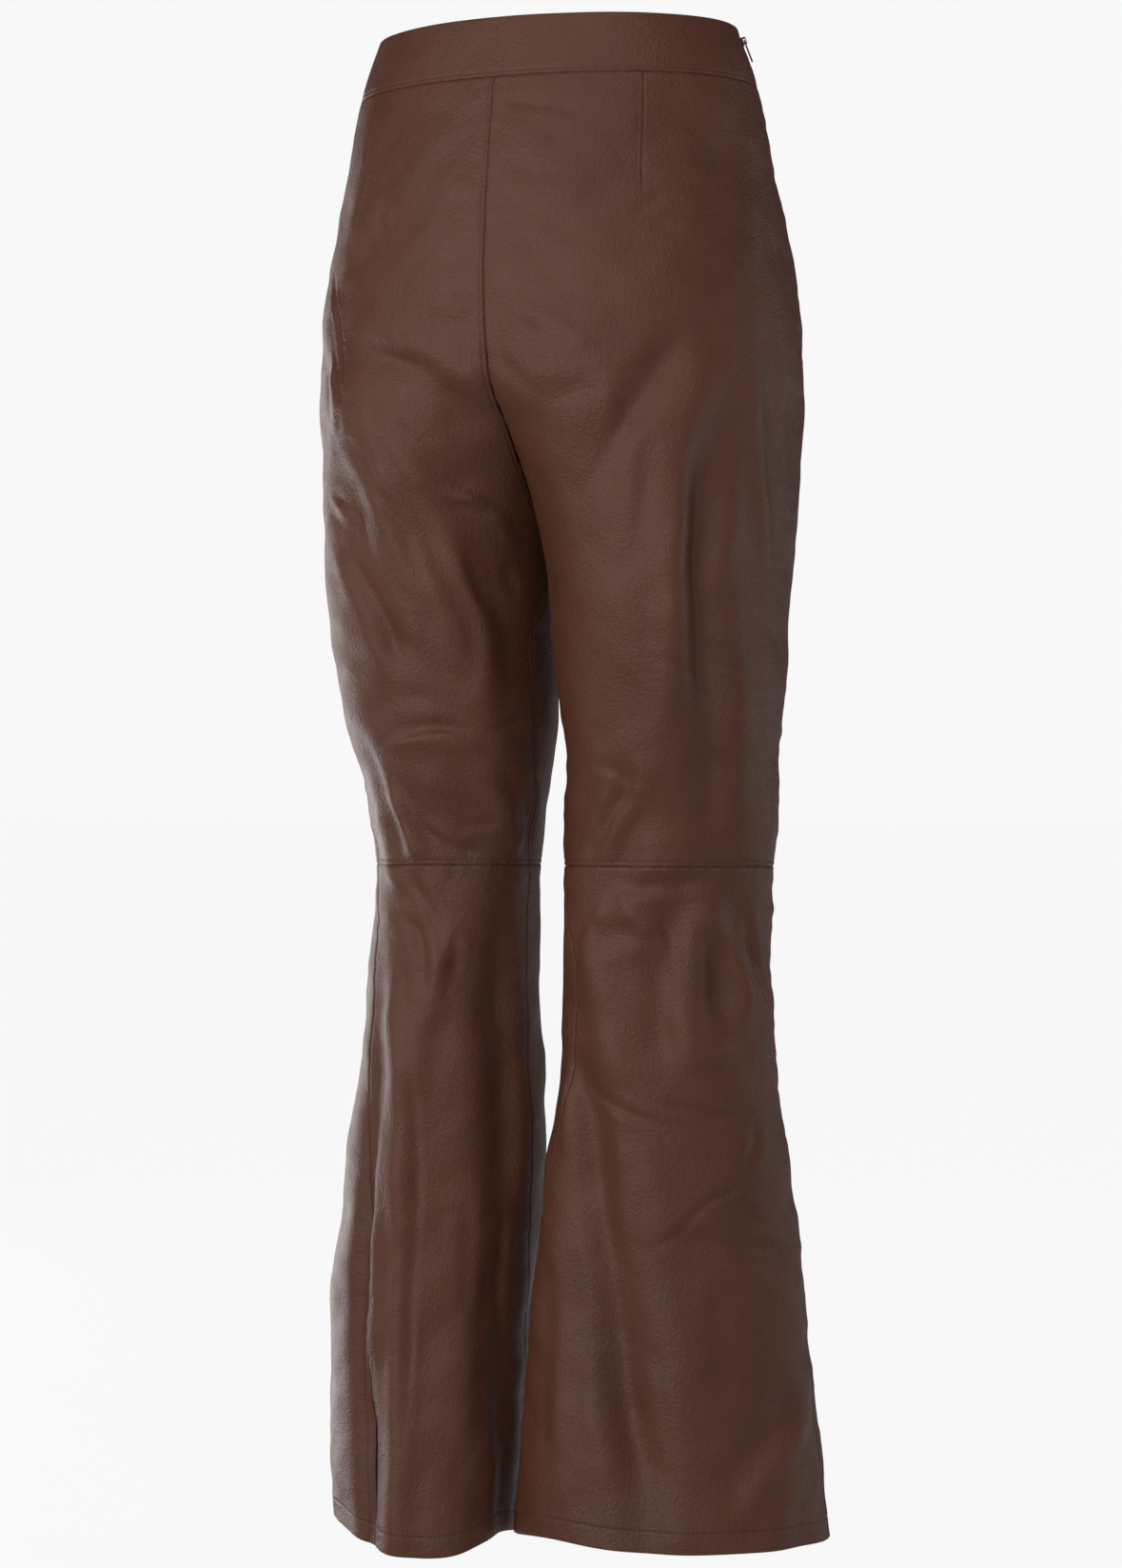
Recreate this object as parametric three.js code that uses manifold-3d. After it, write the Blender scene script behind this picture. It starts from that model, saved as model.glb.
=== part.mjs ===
// High-waisted leather trousers with a flared leg, filled out as if worn, in millimetres.
// +Z is up, the front faces -Y and the wearer's left leg is on +X.
// The origin is the middle of the waistband, where the wearer holds the garment up.
import * as THREE from "three";
import { mergeVertices } from "three/addons/utils/BufferGeometryUtils.js";
import Module from "manifold-3d";

// Driving dimensions
const BAND_TOP = 21;
const BAND_BOTTOM = -21;
const KNEE_Z = -564;
const HEM_Z = { left: -1033, right: -1046 };
const HEM_TURN = 16;
const SLIT_TOP = -866;
const SEAM_GAP = 0.3;
const CLOTH = 1.4;
const HEM_CLOTH = 2.4;
const BAND_CLOTH = 2.2;
const TURN_STEP = 1.5;

// Half the slit's opening at the hem, on each leg
const SLIT_HALF_WIDTH = { left: 2.5, right: 8 };

// The hem is raised in places: on which leg, how far, at which angle and how far round
const HEM_RISES = [
  ["left", 3, 30, 50],
  ["left", 6, 135, 30],
  ["right", 13, 8, 40],
  ["right", 13, 135, 35],
];

// The concealed zip in the wearer's left side seam: its closed tape and teeth lie behind the
// seam, and at the top of the waistband the slider's neck stands in a slot between the edges
const SLOT_HALF_WIDTH = 0.8;
const SLOT_BOTTOM = 7;
const SLOT_FADE = 1;
const TAPE_TOP = 4.5;
const TAPE_BOTTOM = -168;
const TAPE_WIDTH = 26;
const TAPE_THICKNESS = 1;
const TAPE_CLEARANCE = 0.7;
const SLIDER_Z = 11.5;

// Below the waistband the tape comes out to the panels' thinner cloth over this distance
const TAPE_STEP = { from: -23, length: 5 };

// Where the crotch is looked for, and how far down the seam swings from there to the inseam
const CROTCH_SEARCH = { top: -300, bottom: -390 };
const INSEAM_SWING = 60;

// Folds reach past the ends of their line by this share of it, and fade in over a longer one
const FOLD_REACH = 0.12;
const FOLD_FADE = 0.3;

// Down to this level, folds are calm beside the middle of the body
const CALM = { bottom: -430, clear: 4, length: 30 };

// Grid of each wall
const UPPER_COLUMNS = 13;
const LOWER_COLUMNS = 11;
const BAND_COLUMNS = 25;
const TAPE_COLUMNS = 5;
const ROW_STEP = 24;
const CROTCH_STEPS = [0.8, 3.2, 8, 16, 28];
const CLOSEST_ROWS = ROW_STEP / 4;
const HALVINGS = 50;
const SLOPE_STEP = 0.005;

// Level sections of one half of the garment. Each is four quarter ellipses round a centre
// that stands at cx, cy from the middle of the body, reaching out, inn, front and back.
// turn swings the section about Z, towards the wearer's left, and outseam and inseam shift
// those seams forwards, in degrees.
const RING_COLUMNS = ["z", "cx", "cy", "out", "inn", "front", "back", "turn", "outseam", "inseam"];
const BODY_RINGS = [
  [21, 0, 0, 133, 133, 91, 93, 0, -16, 0],
  [-21, 1, 0, 147, 148, 99, 103, 0, -16, 0],
  [-70, 4, 1, 154, 160, 108, 112, 0, -15, 0],
  [-120, 12, 2, 155, 170, 115, 120, 0, -14, 0],
  [-170, 24, 3, 151, 180, 119, 127, 0, -13, 0],
  [-220, 46, 4, 131, 142, 119, 128, 0, -12, 0],
  [-262, 68, 4, 107, 97, 113, 122, 0, -11, 0],
  [-300, 81, 3, 92, 91, 106, 113, 0, -10, 0],
  [-345, 89, 1, 82, 87, 98, 104, 0, -9, 8],
];
const LEG_RINGS = {
  left: [
    [-400, 92, -1, 78, 86, 90, 93, 5, -8, 10],
    [-455, 93, -3, 76, 80, 79, 80, 12, -7, 10],
    [-505, 92, -3, 74, 75, 68, 67, 16, -6, 10],
    [-564, 88, -2, 74, 73.5, 58, 57, 18, -4, 12],
    [-640, 86, 0, 72, 72, 55, 60, 18, -2, 33],
    [-720, 86, 2, 78, 78, 56, 62, 18, 0, 31],
    [-790, 85, 3, 88, 88, 60, 64, 17, 0, 20],
    [-880, 85, 4, 97, 97, 66, 67, 16, 0, 10],
    [-1033, 87, 5, 111, 111, 82, 74, 16, 0, 8],
  ],
  right: [
    [-400, 90, 0, 80, 83, 91, 93, 6, -7, 20],
    [-455, 85, 0, 76, 77, 84, 82, 14, -4, 26],
    [-505, 80, 0, 66, 68, 76, 76, 22, 3, 30],
    [-564, 80, 1, 58, 61, 68, 70, 26, 14, 30],
    [-640, 83, 1, 60, 61, 68, 71, 26, 24, 31],
    [-720, 84, 2, 67, 67, 72, 76, 26, 26, 34],
    [-790, 87, 5, 75, 68, 78, 84, 27, 35, 32],
    [-880, 93, 9, 81, 62, 88, 93, 28, 45, 24],
    [-1046, 101, 14, 76, 58, 116, 108, 30, 47, 14],
  ],
};

// The largest folds: soft ridges (height above 0) and troughs (below 0) of the given half
// width, each along a line from one angle and level to another, bowed sideways in its middle.
// Angle 0 is the outside of the leg, 90 its front, 180 its inside and 270 its back.
const FOLD_COLUMNS = ["leg", "angleA", "zA", "angleB", "zB", "halfWidth", "height", "bow"];
const FOLDS = [
  ["right", 62, -200, 125, -262, 13, -4.5, 6],
  ["right", 56, -225, 114, -410, 17, 4.5, -12],
  ["right", 74, -300, 94, -425, 13, -4, 6],
  ["right", 46, -478, 112, -480, 9, 3.5, -4],
  ["right", 47, -490, 66, -562, 10, 3.5, 4],
  ["right", 50, -572, 84, -622, 9, -3.5, -4],
  ["right", 84, -606, 68, -724, 12, 4.5, 5],
  ["right", 124, -580, 138, -1060, 13, -5, 0],
  ["right", 48, -640, 62, -1070, 12, 8, -14],
  ["right", 34, -670, 45, -1070, 10, -8, -4],
  ["right", 120, -335, 126, -575, 22, 6, 0],
  ["right", 318, -700, 322, -1080, 34, 12, 0],
  ["right", 300, -318, 246, -368, 15, -4.5, 8],
  ["right", 296, -500, 244, -545, 12, -4, 6],
  ["right", 262, -600, 252, -1060, 18, -5, 6],
  ["left", 48, -205, 112, -316, 15, -4.5, 10],
  ["left", 40, -228, 70, -405, 17, 4.5, -8],
  ["left", 36, -240, 66, -556, 15, -4.5, -6],
  ["left", 76, -575, 86, -700, 12, -4, -8],
  ["left", 108, -492, 120, -588, 10, -3.5, 9],
  ["left", 134, -618, 112, -712, 14, 4.5, 0],
  ["left", 62, -588, 72, -706, 12, 4.5, -9],
  ["left", 44, -590, 44, -694, 11, -4.5, -8],
  ["left", 134, -745, 90, -1060, 17, -6, 4],
  ["left", 18, -905, 50, -1060, 18, 5, 0],
  ["left", 82, -815, 16, -834, 9, -3, -3],
  ["left", 298, -322, 244, -364, 15, -4.5, 8],
  ["left", 300, -508, 240, -548, 12, -4, -6],
  ["left", 258, -610, 266, -1060, 18, -5, -6],
  ["left", 318, -760, 314, -1060, 20, 5, 0],
];

// The slider and its tab, in a frame of their own: down the zip, along the waist, and out
// of the cloth from its outer face.
const SLIDER_BODY = { length: 10, width: 7.2, top: -2.7, bottom: -4.9 };
const SLIDER_NECK = { length: 7, width: 1, top: 0.6, bottom: -2.9 };
const ARCH = { width: 2.2, from: -3, to: 2, foot: 0.35, sole: 1.15, crown: 3.4, wall: 1, lintel: 0.6 };
const HINGE = { down: -0.2, out: 1.95, bar: 1 };
const TAB = { start: -0.5, length: 16, halfWidth: 2.7, thickness: 1, windowHalf: 1.5, windowEnd: 3.3 };
const TAB_ROUND = 1.2;

const LEATHER = { color: 0x52362c, roughness: 0.46, metalness: 0 };
const ZIP_TAPE = { color: 0x2e1f1a, roughness: 0.85, metalness: 0 };
const ZIP_METAL = { color: 0x3a2a24, roughness: 0.35, metalness: 0.8 };
const SIDE_SIGN = { left: 1, right: -1 };
const FULL_TURN = 2 * Math.PI;

const radians = (degrees) => (degrees * Math.PI) / 180;
const mix = (a, b, t) => a + (b - a) * t;
const smooth = (t) => {
  const c = Math.min(Math.max(t, 0), 1);
  return c * c * (3 - 2 * c);
};

// A curve through a column of a table that never overshoots its rows.
function makeCurve(levels, values) {
  const count = levels.length;
  const steps = levels.slice(1).map((z, i) => z - levels[i]);
  const rises = steps.map((step, i) => (values[i + 1] - values[i]) / step);
  const slopes = levels.map((z, i) => {
    if (i === 0) return rises[0];
    if (i === count - 1) return rises[count - 2];
    if (rises[i - 1] * rises[i] <= 0) return 0;
    const before = 2 * steps[i] + steps[i - 1];
    const after = steps[i] + 2 * steps[i - 1];
    return (before + after) / (before / rises[i - 1] + after / rises[i]);
  });
  return (level) => {
    const z = Math.min(Math.max(level, levels[0]), levels[count - 1]);
    let i = 0;
    while (i < count - 2 && z > levels[i + 1]) i += 1;
    const t = (z - levels[i]) / steps[i];
    const start = (1 + 2 * t) * (1 - t) ** 2 * values[i];
    const end = t * t * (3 - 2 * t) * values[i + 1];
    const bend = t * (1 - t) ** 2 * slopes[i] - t * t * (1 - t) * slopes[i + 1];
    return start + end + bend * steps[i];
  };
}

function makeRings(side) {
  const rows = [...BODY_RINGS, ...LEG_RINGS[side]].reverse();
  const levels = rows.map((row) => row[0]);
  const curves = {};
  RING_COLUMNS.forEach((name, column) => {
    curves[name] = makeCurve(levels, rows.map((row) => row[column]));
  });
  return curves;
}

const RINGS = { left: makeRings("left"), right: makeRings("right") };

const FOLD_LIST = FOLDS.map((row) => {
  const fold = {};
  FOLD_COLUMNS.forEach((name, column) => {
    fold[name] = row[column];
  });
  return fold;
});

// A point of the smooth leg, before its folds. angle is in radians.
function basePoint(side, z, angle) {
  const rings = RINGS[side];
  const sign = SIDE_SIGN[side];
  const reach = Math.cos(angle) > 0 ? rings.out(z) : rings.inn(z);
  const depth = Math.sin(angle) > 0 ? rings.front(z) : rings.back(z);
  const across = reach * Math.cos(angle) * sign;
  const ahead = depth * Math.sin(angle);
  const turn = radians(rings.turn(z));
  const x = sign * rings.cx(z) + across * Math.cos(turn) + ahead * Math.sin(turn);
  const y = rings.cy(z) + across * Math.sin(turn) - ahead * Math.cos(turn);
  return new THREE.Vector3(x, y, z);
}

// The level direction out of the leg at a point of the smooth surface.
function outward(side, z, angle) {
  const ahead = basePoint(side, z, angle + SLOPE_STEP);
  const along = ahead.sub(basePoint(side, z, angle - SLOPE_STEP));
  return new THREE.Vector3(-along.y, along.x, 0).normalize().multiplyScalar(SIDE_SIGN[side]);
}

// How far a fold lifts the surface at an angle and level.
function foldLift(fold, radius, z, angle) {
  const degrees = THREE.MathUtils.euclideanModulo((angle * 180) / Math.PI, 360);
  const gapA = THREE.MathUtils.euclideanModulo(degrees - fold.angleA + 180, 360) - 180;
  const scale = radians(1) * radius;
  const run = new THREE.Vector2((fold.angleB - fold.angleA) * scale, fold.zB - fold.zA);
  const here = new THREE.Vector2(gapA * scale, z - fold.zA);
  const length = run.length();
  const t = here.dot(run) / (length * length);
  if (t < -FOLD_FADE || t > 1 + FOLD_FADE) return 0;
  const sideways = here.cross(run) / length - fold.bow * 4 * t * (1 - t);
  const fadeIn = smooth((t + FOLD_REACH) / FOLD_FADE);
  const fade = fadeIn * smooth((1 + FOLD_REACH - t) / FOLD_FADE);
  return fold.height * fade * Math.exp(-((sideways / fold.halfWidth) ** 2));
}

// The folds die out at the middle of the body, where the two halves are sewn together.
function foldSum(side, z, angle) {
  const rings = RINGS[side];
  const radius = (rings.out(z) + rings.inn(z) + rings.front(z) + rings.back(z)) / 4;
  const base = basePoint(side, z, angle);
  const fromMiddle = base.x * SIDE_SIGN[side] - CALM.clear;
  const calm = z > CALM.bottom ? smooth(fromMiddle / CALM.length) : 1;
  let lift = 0;
  for (const fold of FOLD_LIST) {
    if (fold.leg === side) lift += foldLift(fold, radius, z, angle);
  }
  return lift * calm;
}

// A point of the wall, inset from its outer face.
function wallPoint(side, z, angle, inset) {
  const lift = foldSum(side, z, angle) - inset;
  return basePoint(side, z, angle).addScaledVector(outward(side, z, angle), lift);
}

// How far the hem, and the cloth above it up to the slit's top, is raised at an angle.
function hemRise(side, z, angle) {
  const share = smooth((SLIT_TOP - z) / (SLIT_TOP - HEM_Z[side]));
  const degrees = (angle * 180) / Math.PI;
  let rise = 0;
  for (const [leg, height, place, reach] of HEM_RISES) {
    if (leg === side) {
      const gap = THREE.MathUtils.euclideanModulo(degrees - place + 180, 360) - 180;
      rise += height * Math.exp(-((gap / reach) ** 2));
    }
  }
  return rise * share;
}

// The angle at which the section comes nearest to the middle of the body.
function innermostAngle(side, z) {
  const sign = SIDE_SIGN[side];
  let low = radians(120);
  let high = radians(240);
  for (let i = 0; i < HALVINGS; i += 1) {
    const a = mix(low, high, 1 / 3);
    const b = mix(low, high, 2 / 3);
    if (basePoint(side, z, a).x * sign < basePoint(side, z, b).x * sign) high = b;
    else low = a;
  }
  return (low + high) / 2;
}

// The angle where the section meets the middle of the body, between two angles.
function middleAngle(side, z, clear, crossed) {
  const sign = SIDE_SIGN[side];
  let outer = clear;
  let inner = crossed;
  for (let i = 0; i < HALVINGS; i += 1) {
    const half = (outer + inner) / 2;
    if (basePoint(side, z, half).x * sign > SEAM_GAP / 2) outer = half;
    else inner = half;
  }
  return outer;
}

const reachesMiddle = (side, z) =>
  z > CROTCH_SEARCH.bottom && basePoint(side, z, innermostAngle(side, z)).x * SIDE_SIGN[side] < SEAM_GAP / 2;

// The level at which the crotch seam ends and the inseam starts.
function crotchLevel(side) {
  let high = CROTCH_SEARCH.top;
  let low = CROTCH_SEARCH.bottom;
  for (let i = 0; i < HALVINGS; i += 1) {
    const half = (high + low) / 2;
    if (reachesMiddle(side, half)) high = half;
    else low = half;
  }
  return low;
}

const CROTCH_Z = { left: crotchLevel("left"), right: crotchLevel("right") };

// The angle that spans a distance along the section.
function angleFor(side, z, angle, distance) {
  const ahead = basePoint(side, z, angle + SLOPE_STEP);
  const span = ahead.distanceTo(basePoint(side, z, angle - SLOPE_STEP));
  return (distance * 2 * SLOPE_STEP) / span;
}

// Half the distance between the edges of the side seam: it opens at the slit in the hem and
// at the slider's slot in the waistband.
function seamHalf(side, z) {
  const open = smooth((SLIT_TOP - z) / (SLIT_TOP - HEM_Z[side]));
  const slot = side === "left" ? smooth((z - SLOT_BOTTOM) / SLOT_FADE + 0.5) : 0;
  const slotHalf = mix(SEAM_GAP / 2, SLOT_HALF_WIDTH, slot);
  return slotHalf + open * SLIT_HALF_WIDTH[side];
}

function outseamAngle(side, z, direction) {
  const angle = radians(RINGS[side].outseam(z));
  return angle + direction * angleFor(side, z, angle, seamHalf(side, z));
}

function inseamAngle(side, z, direction) {
  const inner = innermostAngle(side, z);
  if (z > CROTCH_Z[side]) {
    if (direction < 0) return middleAngle(side, z, radians(60), inner);
    return middleAngle(side, z, radians(300), inner);
  }
  const start = smooth((CROTCH_Z[side] - z) / INSEAM_SWING);
  const below = Math.PI - radians(RINGS[side].inseam(z));
  const angle = mix(inner, below, start);
  return angle + direction * angleFor(side, z, angle, SEAM_GAP / 2);
}

// The angles of a panel's two upright edges at a level.
function panelEdges(side, face, z) {
  if (face === "front") return [outseamAngle(side, z, 1), inseamAngle(side, z, -1)];
  return [inseamAngle(side, z, 1), FULL_TURN + outseamAngle(side, z, -1)];
}

function levelsBetween(top, bottom, extras) {
  const count = Math.ceil((top - bottom) / ROW_STEP);
  const even = Array.from({ length: count + 1 }, (unused, i) => mix(top, bottom, i / count));
  const inside = extras.filter((z) => z < top - SEAM_GAP && z > bottom + SEAM_GAP);
  const kept = even.filter((z, i) => {
    if (i === 0 || i === count) return true;
    return inside.every((extra) => Math.abs(extra - z) > CLOSEST_ROWS);
  });
  return [...kept, ...inside].sort((a, b) => b - a);
}

// A closed wall between an outer and an inner grid of points. at(row, column, inner) gives one.
function wallGeometry(rows, columns, at) {
  const positions = [];
  const indices = [];
  const index = (row, column, inner) => (row * columns + column) * 2 + (inner ? 1 : 0);
  for (let row = 0; row < rows; row += 1) {
    for (let column = 0; column < columns; column += 1) {
      positions.push(...at(row, column, false).toArray());
      positions.push(...at(row, column, true).toArray());
    }
  }
  const quad = (a, b, c, d) => indices.push(a, b, c, a, c, d);
  for (let row = 0; row < rows - 1; row += 1) {
    for (let column = 0; column < columns - 1; column += 1) {
      const next = column + 1;
      const below = row + 1;
      quad(index(row, column), index(below, column), index(below, next), index(row, next));
      quad(
        index(row, column, true),
        index(row, next, true),
        index(below, next, true),
        index(below, column, true),
      );
    }
  }
  const rim = [];
  for (let column = 0; column < columns - 1; column += 1) rim.push([0, column]);
  for (let row = 0; row < rows - 1; row += 1) rim.push([row, columns - 1]);
  for (let column = columns - 1; column > 0; column -= 1) rim.push([rows - 1, column]);
  for (let row = rows - 1; row > 0; row -= 1) rim.push([row, 0]);
  rim.forEach((here, i) => {
    const next = rim[(i + 1) % rim.length];
    quad(index(...here), index(...next), index(...next, true), index(...here, true));
  });
  const geometry = new THREE.BufferGeometry();
  geometry.setAttribute("position", new THREE.Float32BufferAttribute(positions, 3));
  geometry.setIndex(indices);
  if (signedVolume(geometry) < 0) {
    const flipped = [];
    for (let i = 0; i < indices.length; i += 3) {
      flipped.push(indices[i], indices[i + 2], indices[i + 1]);
    }
    geometry.setIndex(flipped);
  }
  geometry.computeVertexNormals();
  return geometry;
}

function signedVolume(geometry) {
  const points = geometry.getAttribute("position");
  const corners = [new THREE.Vector3(), new THREE.Vector3(), new THREE.Vector3()];
  const order = geometry.getIndex().array;
  let volume = 0;
  for (let i = 0; i < order.length; i += 3) {
    corners.forEach((corner, k) => corner.fromBufferAttribute(points, order[i + k]));
    volume += corners[0].dot(corners[1].clone().cross(corners[2])) / 6;
  }
  return volume;
}

function clothAt(side, z) {
  const intoTurn = (HEM_Z[side] + HEM_TURN + TURN_STEP / 2 - z) / TURN_STEP;
  return mix(CLOTH, HEM_CLOTH, smooth(intoTurn));
}

function panelGeometry(side, face, top, bottom, columns) {
  const nearCrotch = CROTCH_STEPS.flatMap((step) => [
    CROTCH_Z[side] + step,
    CROTCH_Z[side] - step,
  ]);
  const turnTop = HEM_Z[side] + HEM_TURN;
  const extras = [
    CROTCH_Z[side],
    ...nearCrotch,
    turnTop + TURN_STEP / 2,
    turnTop - TURN_STEP / 2,
    SLIT_TOP,
  ];
  const levels = levelsBetween(top, bottom, extras);
  return wallGeometry(levels.length, columns, (row, column, inner) => {
    const z = levels[row];
    const [start, end] = panelEdges(side, face, z);
    const angle = mix(start, end, column / (columns - 1));
    const point = wallPoint(side, z, angle, inner ? clothAt(side, z) : 0);
    point.z += hemRise(side, z, angle);
    return point;
  });
}

// The waistband runs across the middle, from one side seam to the other.
function bandGeometry(face) {
  const slotRows = [SLOT_BOTTOM + SLOT_FADE / 2, SLOT_BOTTOM - SLOT_FADE / 2];
  const levels = levelsBetween(BAND_TOP, BAND_BOTTOM, slotRows);
  return wallGeometry(levels.length, BAND_COLUMNS, (row, column, inner) => {
    const z = levels[row];
    const share = (2 * column) / (BAND_COLUMNS - 1) - 1;
    const side = share < 0 ? "left" : "right";
    const seam = face === "front" ? outseamAngle(side, z, 1) : outseamAngle(side, z, -1);
    const middle = face === "front" ? Math.PI / 2 : -Math.PI / 2;
    const angle = mix(middle, seam, Math.abs(share));
    const point = wallPoint(side, z, angle, inner ? BAND_CLOTH : 0);
    if (share === 0) point.x = 0;
    return point;
  });
}

// The closed zip: two tapes and their teeth as one strip behind the side seam.
function tapeGeometry() {
  const stepRows = [TAPE_STEP.from, TAPE_STEP.from - TAPE_STEP.length];
  const levels = levelsBetween(TAPE_TOP, TAPE_BOTTOM, stepRows);
  return wallGeometry(levels.length, TAPE_COLUMNS, (row, column, inner) => {
    const z = levels[row];
    const seam = radians(RINGS.left.outseam(z));
    const sideways = (column / (TAPE_COLUMNS - 1) - 0.5) * TAPE_WIDTH;
    const angle = seam + angleFor("left", z, seam, sideways);
    const thinner = smooth((TAPE_STEP.from - z) / TAPE_STEP.length);
    const depth = mix(BAND_CLOTH, CLOTH, thinner) + TAPE_CLEARANCE + (inner ? TAPE_THICKNESS : 0);
    return wallPoint("left", z, angle, depth);
  });
}

// The slider's own frame at the top of the side seam, as a matrix.
function sliderFrame() {
  const seam = (z) => wallPoint("left", z, radians(RINGS.left.outseam(z)), 0);
  const down = seam(SLIDER_Z - 1).sub(seam(SLIDER_Z + 1)).normalize();
  const out = outward("left", SLIDER_Z, radians(RINGS.left.outseam(SLIDER_Z)));
  const along = new THREE.Vector3(0, 0, 1).cross(out).normalize();
  const away = down.clone().cross(along).normalize();
  if (away.dot(out) < 0) away.negate();
  const side = away.clone().cross(down).normalize();
  const frame = new THREE.Matrix4().makeBasis(down, side, away);
  return frame.setPosition(seam(SLIDER_Z));
}

function plate(length, width, bottom, top, middle = 0) {
  const box = new THREE.BoxGeometry(length, width, top - bottom);
  return box.translate(middle, 0, (top + bottom) / 2);
}

// The arch that the tab hangs in, drawn from the side and as wide as ARCH.width.
function archGeometry() {
  const outline = new THREE.Shape();
  outline.moveTo(ARCH.from, ARCH.foot);
  outline.lineTo(ARCH.to, ARCH.foot);
  outline.lineTo(ARCH.to, ARCH.crown - ARCH.wall / 2);
  outline.lineTo(ARCH.to - ARCH.wall / 2, ARCH.crown);
  outline.lineTo(ARCH.from + ARCH.wall / 2, ARCH.crown);
  outline.lineTo(ARCH.from, ARCH.crown - ARCH.wall / 2);
  outline.closePath();
  const eye = new THREE.Path();
  const crownInside = ARCH.crown - ARCH.lintel;
  eye.moveTo(ARCH.from + ARCH.wall, ARCH.sole);
  eye.lineTo(ARCH.from + ARCH.wall, crownInside);
  eye.lineTo(ARCH.to - ARCH.wall, crownInside);
  eye.lineTo(ARCH.to - ARCH.wall, ARCH.sole);
  eye.closePath();
  outline.holes.push(eye);
  const arch = new THREE.ExtrudeGeometry(outline, { depth: ARCH.width, bevelEnabled: false });
  arch.translate(0, 0, -ARCH.width / 2);
  return arch.rotateX(Math.PI / 2);
}

// The pull tab: a rounded plate with a window that its arch passes through.
function tabGeometry() {
  const half = TAB.halfWidth;
  const end = HINGE.down + TAB.length;
  const start = HINGE.down + TAB.start;
  const outline = new THREE.Shape();
  outline.moveTo(start + TAB_ROUND, -half);
  outline.lineTo(end - half, -half);
  outline.absarc(end - half, 0, half, -Math.PI / 2, Math.PI / 2, false);
  outline.lineTo(start + TAB_ROUND, half);
  outline.lineTo(start, half - TAB_ROUND);
  outline.lineTo(start, -half + TAB_ROUND);
  outline.closePath();
  const hole = new THREE.Path();
  const barHalf = HINGE.bar / 2;
  hole.moveTo(HINGE.down + barHalf, -TAB.windowHalf);
  hole.lineTo(HINGE.down + barHalf, TAB.windowHalf);
  hole.lineTo(HINGE.down + TAB.windowEnd, TAB.windowHalf);
  hole.lineTo(HINGE.down + TAB.windowEnd, -TAB.windowHalf);
  hole.closePath();
  outline.holes.push(hole);
  const settings = { depth: TAB.thickness, bevelEnabled: false, curveSegments: 8 };
  const tab = new THREE.ExtrudeGeometry(outline, settings);
  return tab.translate(0, 0, HINGE.out - TAB.thickness / 2);
}

function toSolid(wasm, geometry) {
  const bare = geometry.clone();
  bare.deleteAttribute("normal");
  bare.deleteAttribute("uv");
  const merged = mergeVertices(bare, 1e-4);
  return new wasm.Manifold(new wasm.Mesh({
    numProp: 3,
    vertProperties: new Float32Array(merged.getAttribute("position").array),
    triVerts: new Uint32Array(merged.getIndex().array),
  }));
}

function toGeometry(solid) {
  const mesh = solid.getMesh();
  const geometry = new THREE.BufferGeometry();
  geometry.setAttribute("position", new THREE.Float32BufferAttribute(mesh.vertProperties, 3));
  geometry.setIndex(Array.from(mesh.triVerts));
  geometry.computeVertexNormals();
  return geometry;
}

function sliderGeometry(wasm) {
  const { length, width, top, bottom } = SLIDER_BODY;
  const body = toSolid(wasm, plate(length, width, bottom, top));
  const neck = plate(SLIDER_NECK.length, SLIDER_NECK.width, SLIDER_NECK.bottom, SLIDER_NECK.top);
  const arch = toSolid(wasm, archGeometry());
  return toGeometry(body.add(toSolid(wasm, neck)).add(arch));
}

function namedMesh(name, geometry, finish) {
  const mesh = new THREE.Mesh(geometry, new THREE.MeshStandardMaterial(finish));
  mesh.name = name;
  return mesh;
}

const wasm = await Module();
wasm.setup();

const trousers = new THREE.Group();
trousers.name = "leather_trousers";
for (const face of ["front", "back"]) {
  trousers.add(namedMesh(`waistband_${face}`, bandGeometry(face), LEATHER));
  for (const side of ["left", "right"]) {
    const upper = [BAND_BOTTOM - SEAM_GAP, KNEE_Z + SEAM_GAP / 2];
    const lower = [KNEE_Z - SEAM_GAP / 2, HEM_Z[side]];
    const upperWall = panelGeometry(side, face, ...upper, UPPER_COLUMNS);
    const lowerWall = panelGeometry(side, face, ...lower, LOWER_COLUMNS);
    trousers.add(namedMesh(`${face}_${side}_upper`, upperWall, LEATHER));
    trousers.add(namedMesh(`${face}_${side}_lower`, lowerWall, LEATHER));
  }
}
trousers.add(namedMesh("zip_tape", tapeGeometry(), ZIP_TAPE));

const zipTop = new THREE.Group();
zipTop.applyMatrix4(sliderFrame());
zipTop.add(namedMesh("zip_slider", sliderGeometry(wasm), ZIP_METAL));
zipTop.add(namedMesh("zip_pull_tab", toGeometry(toSolid(wasm, tabGeometry())), ZIP_METAL));
trousers.add(zipTop);

export default trousers;
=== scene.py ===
"""High-waisted flared leather trousers, filled out as if worn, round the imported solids.

Tables and sizes are in millimetres and degrees, and MM turns them into metres. The front
faces -Y and the wearer's left leg is on +X. Round a leg, angle 0 is its outside, 90 its
front, 180 its inside and 270 its back. An angle in a function is in radians.
"""

import math

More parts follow.
